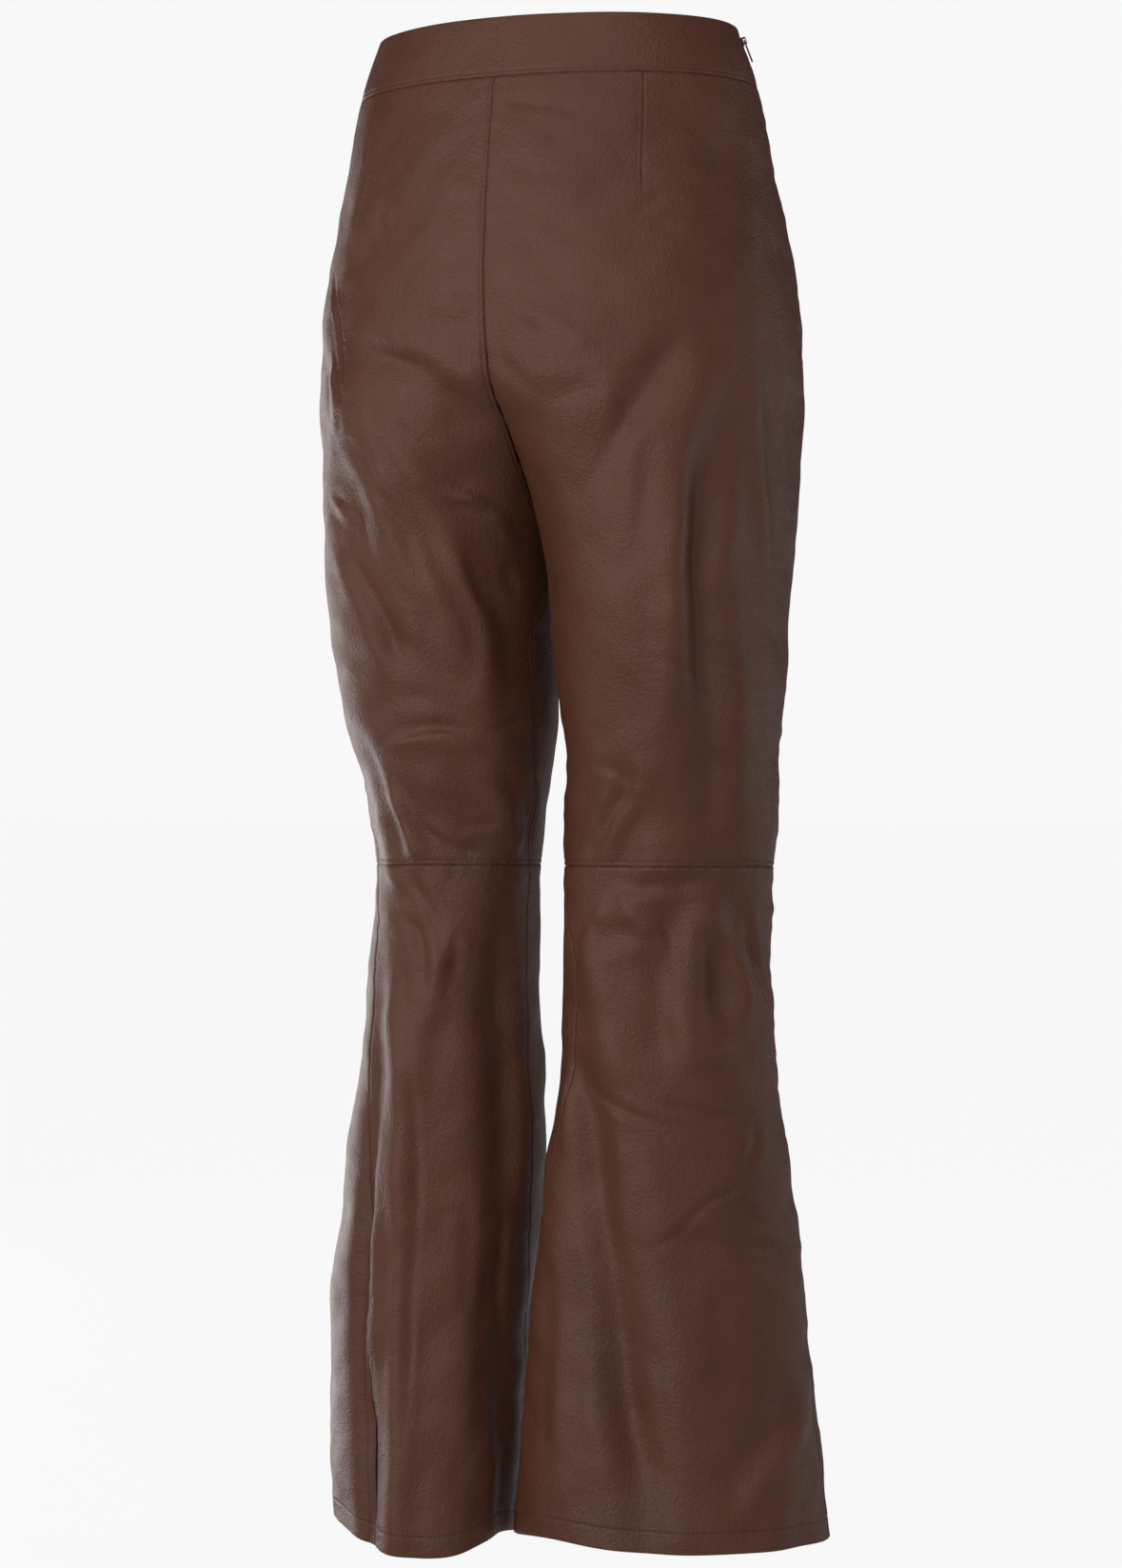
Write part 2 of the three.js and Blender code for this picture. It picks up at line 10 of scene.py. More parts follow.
import bpy
import numpy as np
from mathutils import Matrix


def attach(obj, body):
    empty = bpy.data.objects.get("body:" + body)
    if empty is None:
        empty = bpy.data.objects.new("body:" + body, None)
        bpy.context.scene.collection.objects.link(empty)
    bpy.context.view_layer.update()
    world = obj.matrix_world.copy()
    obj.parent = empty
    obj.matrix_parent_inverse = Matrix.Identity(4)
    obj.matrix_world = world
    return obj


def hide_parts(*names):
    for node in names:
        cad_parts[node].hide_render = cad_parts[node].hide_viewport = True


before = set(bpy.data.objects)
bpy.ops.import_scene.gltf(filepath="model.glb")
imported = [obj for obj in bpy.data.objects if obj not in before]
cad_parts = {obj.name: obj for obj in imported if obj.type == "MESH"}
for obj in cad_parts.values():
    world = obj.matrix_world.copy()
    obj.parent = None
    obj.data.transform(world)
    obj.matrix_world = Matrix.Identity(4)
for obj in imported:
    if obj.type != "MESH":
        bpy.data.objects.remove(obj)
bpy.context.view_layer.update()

MM = 0.001
SIDE_SIGN = {"left": 1, "right": -1}
FULL_TURN = 2 * math.pi

# Driving dimensions, the same as the solids'
BAND_TOP = 21
BAND_BOTTOM = -21
KNEE_Z = -564
HEM_Z = {"left": -1033, "right": -1046}
HEM_TURN = 16
SLIT_TOP = -866
SEAM_GAP = 0.3
SLOT_HALF_WIDTH = 0.8
SLOT_BOTTOM = 7
SLOT_FADE = 1
TAPE_TOP = 4.5
TAPE_BOTTOM = -168
TAPE_WIDTH = 26
TAPE_CLEARANCE = 0.7
CROTCH_SEARCH = (-300, -390)
INSEAM_SWING = 60
FOLD_REACH = 0.12
FOLD_FADE = 0.3
CALM_BOTTOM = -430
CALM_CLEAR = 4
CALM_LENGTH = 30

# The slits: half their width, and how far their lips hang together again at the hem. The
# right one's lips part less than the solids do
SLIT_HALF_WIDTH = {"left": 2.5, "right": 5}
SLIT_CLOSING = {"left": 0, "right": 0.95}

# Thickness of the cloth, in the panels, where the hem is turned up and in the waistband
CLOTH = 1.3
HEM_CLOTH = 2.2
BAND_CLOTH = 2.1

# Grid of each panel: evenly spaced, and closer together beside its edges and darts
GRID = 2.4
PANEL_COLUMNS = 84
BAND_COLUMNS = 80
EDGE_STEPS = np.array([0, 0.5, 1.1, 1.8, 2.6, 3.4, 4.2, 5.2, 6.8])
DART_STEPS = np.array([-6, -4.2, -3, -2.1, -1.4, -0.7, 0, 0.7, 1.4, 2.1, 2.8, 3.4, 4.1, 5, 6.5])
CROTCH_STEPS = np.array([0.3, 0.8, 1.6, 2.8, 4.4, 6.4])
HEM_STEPS = np.array([1.5, 0.75, 0, -0.75, -1.5, -2.3, -3.2])
FINE_NEAR = 0.3
ENDS_CLEAR = 8
SLOPE_STEP = 0.005
HALVINGS = 50
INNER_SEARCH = (120, 240)
CLEAR_ANGLE = {-1: 60, 1: 300}

# Level sections: four quarter ellipses round cx, cy, turned about Z, with the seams' places
RING_COLUMNS = ("z", "cx", "cy", "out", "inn", "front", "back", "turn", "outseam", "inseam")
BODY_RINGS = [
    (21, 0, 0, 133, 133, 91, 93, 0, -16, 0),
    (-21, 1, 0, 147, 148, 99, 103, 0, -16, 0),
    (-70, 4, 1, 154, 160, 108, 112, 0, -15, 0),
    (-120, 12, 2, 155, 170, 115, 120, 0, -14, 0),
    (-170, 24, 3, 151, 180, 119, 127, 0, -13, 0),
    (-220, 46, 4, 131, 142, 119, 128, 0, -12, 0),
    (-262, 68, 4, 107, 97, 113, 122, 0, -11, 0),
    (-300, 81, 3, 92, 91, 106, 113, 0, -10, 0),
    (-345, 89, 1, 82, 87, 98, 104, 0, -9, 8),
]
LEG_RINGS = {
    "left": [
        (-400, 92, -1, 78, 86, 90, 93, 5, -8, 10),
        (-455, 93, -3, 76, 80, 79, 80, 12, -7, 10),
        (-505, 92, -3, 74, 75, 68, 67, 16, -6, 10),
        (-564, 88, -2, 74, 73.5, 58, 57, 18, -4, 12),
        (-640, 86, 0, 72, 72, 55, 60, 18, -2, 33),
        (-720, 86, 2, 78, 78, 56, 62, 18, 0, 31),
        (-790, 85, 3, 88, 88, 60, 64, 17, 0, 20),
        (-880, 85, 4, 97, 97, 66, 67, 16, 0, 10),
        (-1033, 87, 5, 111, 111, 82, 74, 16, 0, 8),
    ],
    "right": [
        (-400, 90, 0, 80, 83, 91, 93, 6, -7, 20),
        (-455, 85, 0, 76, 77, 84, 82, 14, -4, 26),
        (-505, 80, 0, 66, 68, 76, 76, 22, 3, 30),
        (-564, 80, 1, 58, 61, 68, 70, 26, 14, 30),
        (-640, 83, 1, 60, 61, 68, 71, 26, 24, 31),
        (-720, 84, 2, 67, 67, 72, 76, 26, 26, 34),
        (-790, 87, 5, 75, 68, 78, 84, 27, 35, 32),
        (-880, 93, 9, 81, 62, 88, 93, 28, 45, 24),
        (-1046, 101, 14, 76, 58, 116, 108, 30, 47, 14),
    ],
}

# The largest folds, the same as the solids': leg, first angle and level, last angle and
# level, half width, height (a trough's is below 0) and sideways bow
FOLDS = [
    ("right", 62, -200, 125, -262, 13, -4.5, 6),
    ("right", 56, -225, 114, -410, 17, 4.5, -12),
    ("right", 74, -300, 94, -425, 13, -4, 6),
    ("right", 46, -478, 112, -480, 9, 3.5, -4),
    ("right", 47, -490, 66, -562, 10, 3.5, 4),
    ("right", 50, -572, 84, -622, 9, -3.5, -4),
    ("right", 84, -606, 68, -724, 12, 4.5, 5),
    ("right", 124, -580, 138, -1060, 13, -5, 0),
    ("right", 48, -640, 62, -1070, 12, 8, -14),
    ("right", 34, -670, 45, -1070, 10, -8, -4),
    ("right", 120, -335, 126, -575, 22, 6, 0),
    ("right", 318, -700, 322, -1080, 34, 12, 0),
    ("right", 300, -318, 246, -368, 15, -4.5, 8),
    ("right", 296, -500, 244, -545, 12, -4, 6),
    ("right", 262, -600, 252, -1060, 18, -5, 6),
    ("left", 48, -205, 112, -316, 15, -4.5, 10),
    ("left", 40, -228, 70, -405, 17, 4.5, -8),
    ("left", 36, -240, 66, -556, 15, -4.5, -6),
    ("left", 76, -575, 86, -700, 12, -4, -8),
    ("left", 108, -492, 120, -588, 10, -3.5, 9),
    ("left", 134, -618, 112, -712, 14, 4.5, 0),
    ("left", 62, -588, 72, -706, 12, 4.5, -9),
    ("left", 44, -590, 44, -694, 11, -4.5, -8),
    ("left", 134, -745, 90, -1060, 17, -6, 4),
    ("left", 18, -905, 50, -1060, 18, 5, 0),
    ("left", 82, -815, 16, -834, 9, -3, -3),
    ("left", 298, -322, 244, -364, 15, -4.5, 8),
    ("left", 300, -508, 240, -548, 12, -4, -6),
    ("left", 258, -610, 266, -1060, 18, -5, -6),
    ("left", 318, -760, 314, -1060, 20, 5, 0),
]

# Finer creases of each leg: half width, height, lean (how much wider one flank is than the
# other) and the angles and levels that the crease runs through
CREASE_GROUPS = [
    # Far leg, waist to knee
    ("right", [
        (7, -3.8, 0.2, [(60, -198), (74, -210), (88, -221), (101, -236), (118, -252), (130, -270)]),
        (6, -2.2, 0.2, [(74, -238), (91, -264), (106, -281), (122, -295), (134, -302)]),
        (8, 3.4, -0.2, [(64, -218), (86, -260), (106, -304), (121, -342), (130, -379), (131, -415),
            (120, -447), (102, -466)]),
        (5, -2.4, 0.2, [(58, -206), (70, -256), (84, -296), (98, -323), (106, -349), (109, -385),
            (108, -420)]),
        (5, 2.6, 0.4, [(42, -196), (50, -225), (60, -250), (76, -296)]),
        (4.5, -2.0, 0.2, [(50, -218), (62, -258), (76, -285)]),
        (4, 1.8, 0.3, [(46, -302), (62, -314), (75, -328), (82, -356)]),
        (7, -3.0, 0.2, [(56, -322), (71, -354), (82, -385), (85, -412), (86, -442)]),
        (7, 1.8, 0, [(88, -352), (95, -385), (101, -428)]),
        (5, -2.0, 0, [(128, -338), (132, -368), (136, -386)]),
        (5, -1.8, 0.2, [(146, -350), (151, -366), (154, -382)]),
        (3.5, -1.5, 0.3, [(116, -313), (130, -315), (144, -321)]),
        (5, 1.8, 0.2, [(110, -303), (128, -310), (143, -325), (158, -350)]),
        (5, -0.9, 0, [(93, -174), (98, -200), (106, -228)]),
        (3.5, -0.6, 0.3, [(84, -168), (90, -173), (96, -181)]),
        (16, 1.3, 0, [(76, -148), (86, -172), (92, -196)]),
        (14, 0.9, 0, [(78, -80), (84, -96), (88, -112)]),
        (5, -0.9, 0, [(57, -96), (60, -118), (66, -140)]),
        (2.6, -2.6, 0.2, [(32, -138), (45, -176), (53, -208), (60, -234)]),
    ]),
    # Far leg, round the knee
    ("right", [
        (6, 1.2, 0.2, [(56, -464), (70, -458), (86, -455), (102, -456)]),
        (4, -2.4, -0.3, [(48, -482), (66, -475), (83, -470), (100, -468), (116, -475)]),
        (3, -1.0, 0, [(114, -474), (132, -466), (148, -459)]),
        (9, -3.6, 0, [(112, -474), (126, -505), (140, -523), (147, -548), (146, -575)]),
        (8, -2.2, 0.2, [(40, -466), (43, -505), (48, -538), (55, -565), (69, -592), (84, -621)]),
        (6, 1.6, 0, [(52, -498), (58, -538), (68, -562)]),
        (5, -2.0, 0.2, [(62, -526), (74, -542), (86, -550), (98, -553), (114, -554)]),
        (3.5, -1.2, 0, [(92, -534), (106, -536), (120, -532)]),
        (5, 1.6, 0, [(122, -553), (134, -548), (140, -532)]),
    ]),
    # Far leg, knee to hem
    ("right", [
        (7, 2.2, -0.45, [(22, -566), (44, -574), (61, -586), (82, -619)]),
        (6, -2.6, 0, [(32, -583), (52, -600), (68, -618), (74, -655), (64, -684)]),
        (6, 1.6, 0, [(87, -618), (80, -642), (76, -664)]),
        (4, -1.2, 0, [(91, -608), (93, -625), (92, -642)]),
        (4, -1.4, 0.3, [(62, -652), (70, -739), (73, -790), (73, -837), (71, -937), (66, -1010)]),
        (9, -1.5, 0, [(34, -631), (45, -681), (54, -712), (63, -755), (67, -810), (67, -870), (65, -930),
            (63, -976), (60, -1012)]),
        (9, 4.5, 0, [(28, -690), (36, -720), (44, -760), (47, -832), (48, -879), (47, -926), (44, -990)]),
        (13, -2.8, 0, [(110, -572), (117, -639), (119, -700), (119, -805), (120, -872), (118, -960),
            (118, -1016)]),
        (6, 1.6, 0, [(131, -780), (134, -853), (137, -906)]),
        (6, -1.0, 0, [(100, -784), (101, -835), (102, -886)]),
        (3, -0.6, 0.3, [(70, -809), (92, -807), (118, -808), (148, -811)]),
    ]),
    # Near leg, waist to knee
    ("left", [
        (8, -2.6, 0, [(43, -196), (54, -222), (65, -247), (78, -273), (93, -296)]),
        (10, 3.0, 0, [(36, -190), (40, -247), (46, -286), (56, -337), (66, -389), (80, -453), (90, -508)]),
        (6, -1.4, 0, [(60, -248), (68, -295), (77, -344), (88, -374)]),
        (11, -5.0, 0.2, [(35, -205), (41, -259), (47, -311), (50, -363), (54, -414), (60, -466), (63, -531),
            (66, -560)]),
        (7, 1.0, -0.2, [(34, -260), (42, -305), (47, -340)]),
        (7, -1.0, 0, [(24, -335), (34, -365), (43, -397)]),
        (3, -0.5, 0.3, [(93, -421), (76, -424), (53, -427), (20, -426)]),
        (7, 2.2, -0.2, [(20, -170), (20, -244), (17, -300), (12, -340), (5, -376)]),
        (8, -1.8, 0, [(11, -184), (10, -250), (5, -316)]),
        (16, -1.6, 0, [(17, -34), (25, -110), (32, -182)]),
        (8, -0.9, 0.2, [(97, -134), (81, -138), (68, -119), (54, -97)]),
        (4, -0.9, 0.2, [(88, -38), (75, -45), (63, -52)]),
        (8, -1.0, 0, [(93, -73), (78, -90), (65, -91)]),
        (3, -0.6, 0.3, [(83, -173), (72, -178), (61, -181)]),
        (5, -1.1, 0.4, [(101, -249), (86, -243), (71, -238)]),
        (8, -0.9, 0, [(105, -202), (102, -230), (96, -252)]),
        (7, 1.0, 0, [(97, -181), (87, -188), (78, -200), (74, -228)]),
        (5, 1.0, 0, [(71, -237), (76, -257), (90, -285), (107, -304)]),
        (2.4, -0.9, 0, [(46, -105), (49, -113), (55, -119)]),
        (3, 0.5, 0, [(43, -106), (45, -117), (50, -126)]),
    ]),
    # Near leg, round the knee
    ("left", [
        (4, -1.4, 0.2, [(132, -493), (115, -498), (103, -512)]),
        (6, 2.2, 0.3, [(97, -482), (102, -505), (105, -518), (116, -537), (120, -566)]),
        (6, -2.6, 0, [(109, -498), (114, -521), (128, -544), (134, -568)]),
        (6, -2.6, 0.2, [(118, -577), (98, -578), (81, -576), (57, -571)]),
        (6, 1.8, 0.2, [(118, -583), (130, -606), (141, -627)]),
        (6, 2.0, -0.2, [(118, -582), (102, -600), (91, -613), (82, -640)]),
        (7, -1.5, 0, [(129, -613), (113, -611), (96, -605)]),
        (7, -2.6, 0, [(72, -592), (60, -620), (56, -645), (60, -668), (74, -682)]),
        (8, 3.2, 0, [(72, -580), (58, -597), (46, -623), (36, -653), (44, -678), (60, -692), (74, -698)]),
        (5, -1.4, 0.2, [(74, -703), (56, -705), (41, -688)]),
        (4, -2.4, 0.2, [(38, -594), (28, -625), (16, -650), (0, -672)]),
        (5, 1.0, 0, [(31, -582), (24, -615), (19, -648)]),
    ]),
    # Near leg, below the knee
    ("left", [
        (3.5, -1.8, 0.3, [(139, -713), (122, -724), (104, -735), (83, -745)]),
        (3.5, -1.5, 0.3, [(106, -724), (80, -730), (54, -737), (34, -730)]),
        (4, -1.6, 0, [(34, -736), (41, -760), (50, -774)]),
        (2.6, -1.6, 0.35, [(28, -770), (54, -785), (68, -794), (81, -814), (98, -831)]),
        (4, -0.7, 0.3, [(87, -815), (64, -824), (40, -829), (12, -833)]),
        (14, -8.0, 0.25, [(154, -690), (142, -703), (127, -752), (113, -816), (105, -880), (100, -944),
            (92, -992), (86, -1024)]),
        (8, 1.8, 0, [(147, -784), (134, -886), (132, -951), (125, -1016)]),
        (7, 1.5, 0, [(114, -714), (107, -790), (99, -856)]),
        (3, -0.8, 0, [(89, -886), (86, -937), (82, -984)]),
        (7, -0.8, 0, [(60, -836), (63, -890), (62, -944)]),
        (8, -2.0, 0, [(15, -913), (34, -938), (49, -960), (69, -996)]),
        (7, 2.4, 0, [(12, -936), (43, -977), (61, -1020)]),
        (7, -1.6, 0, [(11, -980), (26, -998), (39, -1020)]),
    ]),
    # The back of both legs, much as the front: right
    ("right", [
        (6, -2.8, 0.2, [(304, -318), (282, -338), (246, -368)]),
        (5, -2.2, 0.3, [(292, -352), (266, -372), (240, -384)]),
        (6, 2.2, 0, [(308, -352), (284, -378), (262, -420)]),
        (5, -2.8, 0.3, [(300, -500), (272, -526), (240, -545)]),
        (5, -2.3, 0.2, [(246, -505), (262, -530), (288, -548)]),
        (5, 2.2, 0, [(300, -536), (276, -556), (250, -560)]),
        (6, -2.5, 0.2, [(296, -582), (270, -596), (244, -588)]),
        (6, -2.2, 0.2, [(264, -604), (272, -690), (260, -790), (254, -1020)]),
        (6, 2.0, 0.2, [(300, -620), (292, -730), (300, -860)]),
        (4, -1.8, 0.2, [(236, -742), (262, -756), (284, -748)]),
        (6, -1.8, 0.2, [(222, -830), (228, -1010)]),
        (5, -1.4, 0, [(320, -120), (306, -168)]),
        (5, -1.4, 0.2, [(286, -176), (268, -212), (262, -262)]),
    ]),
    # The back of both legs, much as the front: left
    ("left", [
        (6, -2.8, 0.2, [(300, -322), (276, -346), (244, -364)]),
        (5, -2.2, 0.3, [(288, -356), (262, -378), (236, -382)]),
        (6, 2.2, 0, [(306, -356), (280, -392), (266, -440)]),
        (5, -2.8, 0.3, [(302, -508), (270, -536), (240, -548)]),
        (5, -2.3, 0.2, [(250, -512), (268, -524), (296, -550)]),
        (5, 2.2, 0, [(298, -528), (270, -556), (246, -566)]),
        (6, -2.5, 0.2, [(300, -590), (276, -602), (246, -598)]),
        (6, -2.2, 0.2, [(260, -614), (252, -700), (262, -820), (266, -1010)]),
        (6, 2.0, 0.2, [(304, -640), (316, -760), (312, -900)]),
        (4, -1.8, 0.2, [(240, -722), (268, -738), (292, -726)]),
        (6, -1.8, 0.2, [(226, -806), (234, -1000)]),
        (5, -1.4, 0, [(322, -136), (308, -190)]),
        (5, -1.4, 0.2, [(284, -158), (270, -206), (268, -250)]),
    ]),
]
CREASES = [(leg, *row) for leg, rows in CREASE_GROUPS for row in rows]

# Darts: leg, face, top angle and level, tip angle and level
DARTS = [
    ("left", "front", 47, -21, 51, -109),
    ("right", "front", 43, -21, 44, -120),
    ("left", "back", -54, -21, -58, -132),
    ("right", "back", -54, -21, -58, -132),
]
DART_DEPTH = 0.6
DART_HALF_WIDTH = 1.0
DART_FADE = 14
DART_STITCH = 3.4
DART_STITCH_DEPTH = 0.3
# The fold pressed to one side of a dart: height, width and how soft its edges are
DART_FOLD = 0.2
DART_FOLD_WIDTH = 4.5
DART_FOLD_SOFT = 1.5
# The bump below a dart's tip and the dimple beside it: height, half width and place
DART_BUMP = (0.6, 11, 6)
DART_BUMP_STRETCH = 0.6
DART_DIMPLE = (-0.5, 5, 10)
DART_DIMPLE_SIDE = 4

# Seams: the cloth rolls down into them, and a line of stitches presses it beside them
SEAM_DEPTH = 0.6
SEAM_HALF_WIDTH = 1.0
STITCH_OFFSET = 3.4
EDGE_STITCH_OFFSET = 2.9
STITCH_DEPTH = 0.5
STITCH_HALF_WIDTH = 0.8
STITCH_PITCH = 3.2
STITCH_LENGTH = 2.5
THREAD_RADIUS = 0.23
HEM_STITCH = 14.5
SLIT_STITCH = 7
# How far from a panel's ends its stitches stop, and those beside the middle seam
STITCH_MARGIN = 1.5
MIDDLE_STITCH_TOP = -24
MIDDLE_STITCH_CLEAR = 12
DART_STITCH_MARGINS = (1, 4)

# Puckers fan out from the seams
PUCKER_HEIGHT = {"side": 0.7, "middle": 0.6, "knee": 0.5, "waist": 0.4, "hem": 0.45}
PUCKER_REACH = {"side": 13, "middle": 11, "knee": 8, "waist": 8, "hem": 8}
PUCKER_WAVES = ((17, 0.5), (11, 0.3), (29, 0.35), (41, 0.25))
# How they slant and drift along the seam, each a share and a length
PUCKER_SLANT = (0.45, 37)
PUCKER_DRIFT = (0.9, 23)
# How strong they are along it: the mean, what comes and goes, and two lengths
PUCKER_STRENGTH = (0.65, 0.35, 58, 31)
PUCKER_SEED = 100

# Slow waviness of the cloth: wavelength, direction (0 is round the leg) and height
RIPPLES = (
    (96, 62, 0.70), (74, -38, 0.52), (61, 24, 0.38), (49, -66, 0.30),
    (38, 48, 0.20), (31, -20, 0.15), (25, 74, 0.10), (20, -52, 0.07),
)
RIPPLE_SEED = {"left": 11, "right": 12}
RIPPLE_BEND = 0.8
RIPPLE_BEND_LENGTH = 2.7
# It is fainter near the waistband: its share there, from which level and over what length
WAIST_RIPPLE = 0.35
WAIST_RIPPLE_FROM = -60
WAIST_RIPPLE_LENGTH = 40
QUIET_LENGTH = 14

# Free edges are rolled: how far in the roll begins and how deep it is, by the thickness
EDGE_ROLL = 0.75
EDGE_ROLL_DEPTH = 0.38
HEM_STEP = 1.5

# Each hem is raised in two places: greatest rise, its angle and its reach
HEM_RISES = {"left": ((3, 30, 50), (6, 135, 30)), "right": ((13, 8, 40), (13, 135, 35))}

# The photo's camera, level and turned round the garment
CAMERA_AZIMUTH = 26
CAMERA_DISTANCE = 3.0
CAMERA_SHIFT = 0.003
CAMERA_Z = -0.507
CAMERA_LENS = 97.4
FLOOR_Z = -1.075
FLOOR_REACH = 60


def smooth(t):
    c = np.clip(t, 0, 1)
    return c * c * (3 - 2 * c)


def mix(a, b, t):
    return a + (b - a) * t


def bell(distance, half_width):
    return np.exp(-((distance / half_width) ** 2))


class Column:
    """A curve through a column of a table that never overshoots its rows."""

    def __init__(self, levels, values):
        self.levels = levels
        self.values = values
        steps = np.diff(levels)
        rises = np.diff(values) / steps
        before = 2 * steps[1:] + steps[:-1]
        after = steps[1:] + 2 * steps[:-1]
        same_way = rises[:-1] * rises[1:] > 0
        first = np.where(same_way, rises[:-1], 1)
        second = np.where(same_way, rises[1:], 1)
        inside = np.where(same_way, (before + after) / (before / first + after / second), 0)
        self.slopes = np.concatenate([rises[:1], inside, rises[-1:]])

    def __call__(self, level):
        z = np.clip(level, self.levels[0], self.levels[-1])
        i = np.clip(np.searchsorted(self.levels, z, side="right") - 1, 0, len(self.levels) - 2)
        step = self.levels[i + 1] - self.levels[i]
        t = (z - self.levels[i]) / step
        start = (1 + 2 * t) * (1 - t) ** 2 * self.values[i]
        end = t * t * (3 - 2 * t) * self.values[i + 1]
        bend = t * (1 - t) ** 2 * self.slopes[i] - t * t * (1 - t) * self.slopes[i + 1]
        return start + end + bend * step


def make_rings(side):
    rows = np.array(BODY_RINGS + LEG_RINGS[side], float)[::-1]
    return {name: Column(rows[:, 0], rows[:, i]) for i, name in enumerate(RING_COLUMNS)}


RINGS = {side: make_rings(side) for side in SIDE_SIGN}


def base_point(side, z, angle):
    """A point of the smooth leg, before its folds."""
    rings = RINGS[side]
    sign = SIDE_SIGN[side]
    cosine = np.cos(angle)
    sine = np.sin(angle)
    across = np.where(cosine > 0, rings["out"](z), rings["inn"](z)) * cosine * sign
    ahead = np.where(sine > 0, rings["front"](z), rings["back"](z)) * sine
    turn = np.radians(rings["turn"](z))
    x = sign * rings["cx"](z) + across * np.cos(turn) + ahead * np.sin(turn)
    y = rings["cy"](z) + across * np.sin(turn) - ahead * np.cos(turn)
    return np.stack(np.broadcast_arrays(x, y, z), -1)


def along_ring(side, z, angle):
    """How the smooth leg's point moves with its angle."""
    ahead = base_point(side, z, angle + SLOPE_STEP)
    behind = base_point(side, z, angle - SLOPE_STEP)
    return (ahead - behind) / (2 * SLOPE_STEP)


def outward(side, z, angle):
    along = along_ring(side, z, angle)
    out = np.stack([-along[..., 1], along[..., 0], np.zeros_like(along[..., 0])], -1)
    return out / np.linalg.norm(out, axis=-1, keepdims=True) * SIDE_SIGN[side]


def speed(side, z, angle):
    return np.linalg.norm(along_ring(side, z, angle), axis=-1)


def mean_radius(side, z):
    rings = RINGS[side]
    return sum(rings[name](z) for name in ("out", "inn", "front", "back")) / 4


def wrapped(degrees):
    return (degrees + 180) % 360 - 180


def fold_lift(fold, side, z, angle, radius):
    """How far one large fold lifts the surface."""
    leg, angle_a, z_a, angle_b, z_b, half_width, height, bow = fold
    scale = math.pi / 180 * radius
    run_x = (angle_b - angle_a) * scale
    run_z = z_b - z_a
    here_x = wrapped(np.degrees(angle) - angle_a) * scale
    here_z = z - z_a
    length = np.hypot(run_x, run_z)
    t = (here_x * run_x + here_z * run_z) / length**2
    sideways = (here_x * run_z - here_z * run_x) / length - bow * 4 * t * (1 - t)
    fade = smooth((t + FOLD_REACH) / FOLD_FADE) * smooth((1 + FOLD_REACH - t) / FOLD_FADE)
    return height * fade * bell(sideways, half_width)


def curve_through(points, steps=6):
    """A smooth path through the given points of a crease."""
    ends = [2 * points[0] - points[1], 2 * points[-1] - points[-2]]
    knots = np.vstack([ends[0], points, ends[1]])
    path = []
    for i in range(1, len(knots) - 2):
        before, here, there, after = knots[i - 1 : i + 3]
        for t in np.arange(steps) / steps:
            path.append(0.5 * (2 * here + (there - before) * t
                               + (2 * before - 5 * here + 4 * there - after) * t**2
                               + (3 * here - before - 3 * there + after) * t**3))
    path.append(points[-1])
    return np.array(path)


CREASE_REACH = 3.5
CREASE_LIP = 0.22
CREASE_LIP_PLACE = 1.9
CREASE_LIP_WIDTH = 0.8
CREASE_FADE = 0.32
SMALLEST_RADIUS = 50
# Along its length a crease's height comes and goes: share, pace and shift
CREASE_UNEVEN = ((0.22, 9, 1), (0.12, 23, 2.1))


def crease_lift(crease, order, z, angle, radius):
    """How far a fine crease lifts the surface, with low lips along its flanks."""
    leg, half_width, height, lean, points = crease
    path = curve_through(np.array(points, float))
    reach = half_width * CREASE_REACH
    middle = path[:, 0].mean()
    degrees = wrapped(np.degrees(angle) - middle)
    span = np.abs(path[:, 0] - middle).max() + math.degrees(reach / SMALLEST_RADIUS)
    near = (z < path[:, 1].max() + reach) & (z > path[:, 1].min() - reach)
    near = near & (np.abs(degrees) < span)
    lift = np.zeros(degrees.shape)
    if not near.any():
        return lift
    scale = (math.pi / 180 * radius)[near][:, None]
    x = degrees[near][:, None] * scale
    level = z[near][:, None]
    start_x = (path[:-1, 0] - middle)[None] * scale
    run_x = np.diff(path[:, 0])[None] * scale
    start_z = path[:-1, 1][None]
    run_z = np.diff(path[:, 1])[None]
    length = np.hypot(run_x, run_z) + 1e-9
    t = np.clip(((x - start_x) * run_x + (level - start_z) * run_z) / length**2, 0, 1)
    gap_x = x - start_x - run_x * t
    gap_z = level - start_z - run_z * t
    distance = np.hypot(gap_x, gap_z)
    nearest = distance.argmin(1)
    rows = np.arange(len(nearest))
    side_of = np.sign(gap_x[rows, nearest] * run_z[0, nearest] - gap_z[rows, nearest] * run_x[rows, nearest])
    share = (nearest + t[rows, nearest]) / (len(path) - 1)
    width = half_width * (1 + lean * side_of)
    uneven = 1 + sum(size * np.sin(share * pace + order * shift) for size, pace, shift in CREASE_UNEVEN)
    q = distance[rows, nearest] / width
    fade = smooth(share / CREASE_FADE) * smooth((1 - share) / CREASE_FADE)
    profile = bell(q, 1) - CREASE_LIP * bell(q - CREASE_LIP_PLACE, CREASE_LIP_WIDTH)
    lift[near] = height * fade * uneven * profile
    return lift


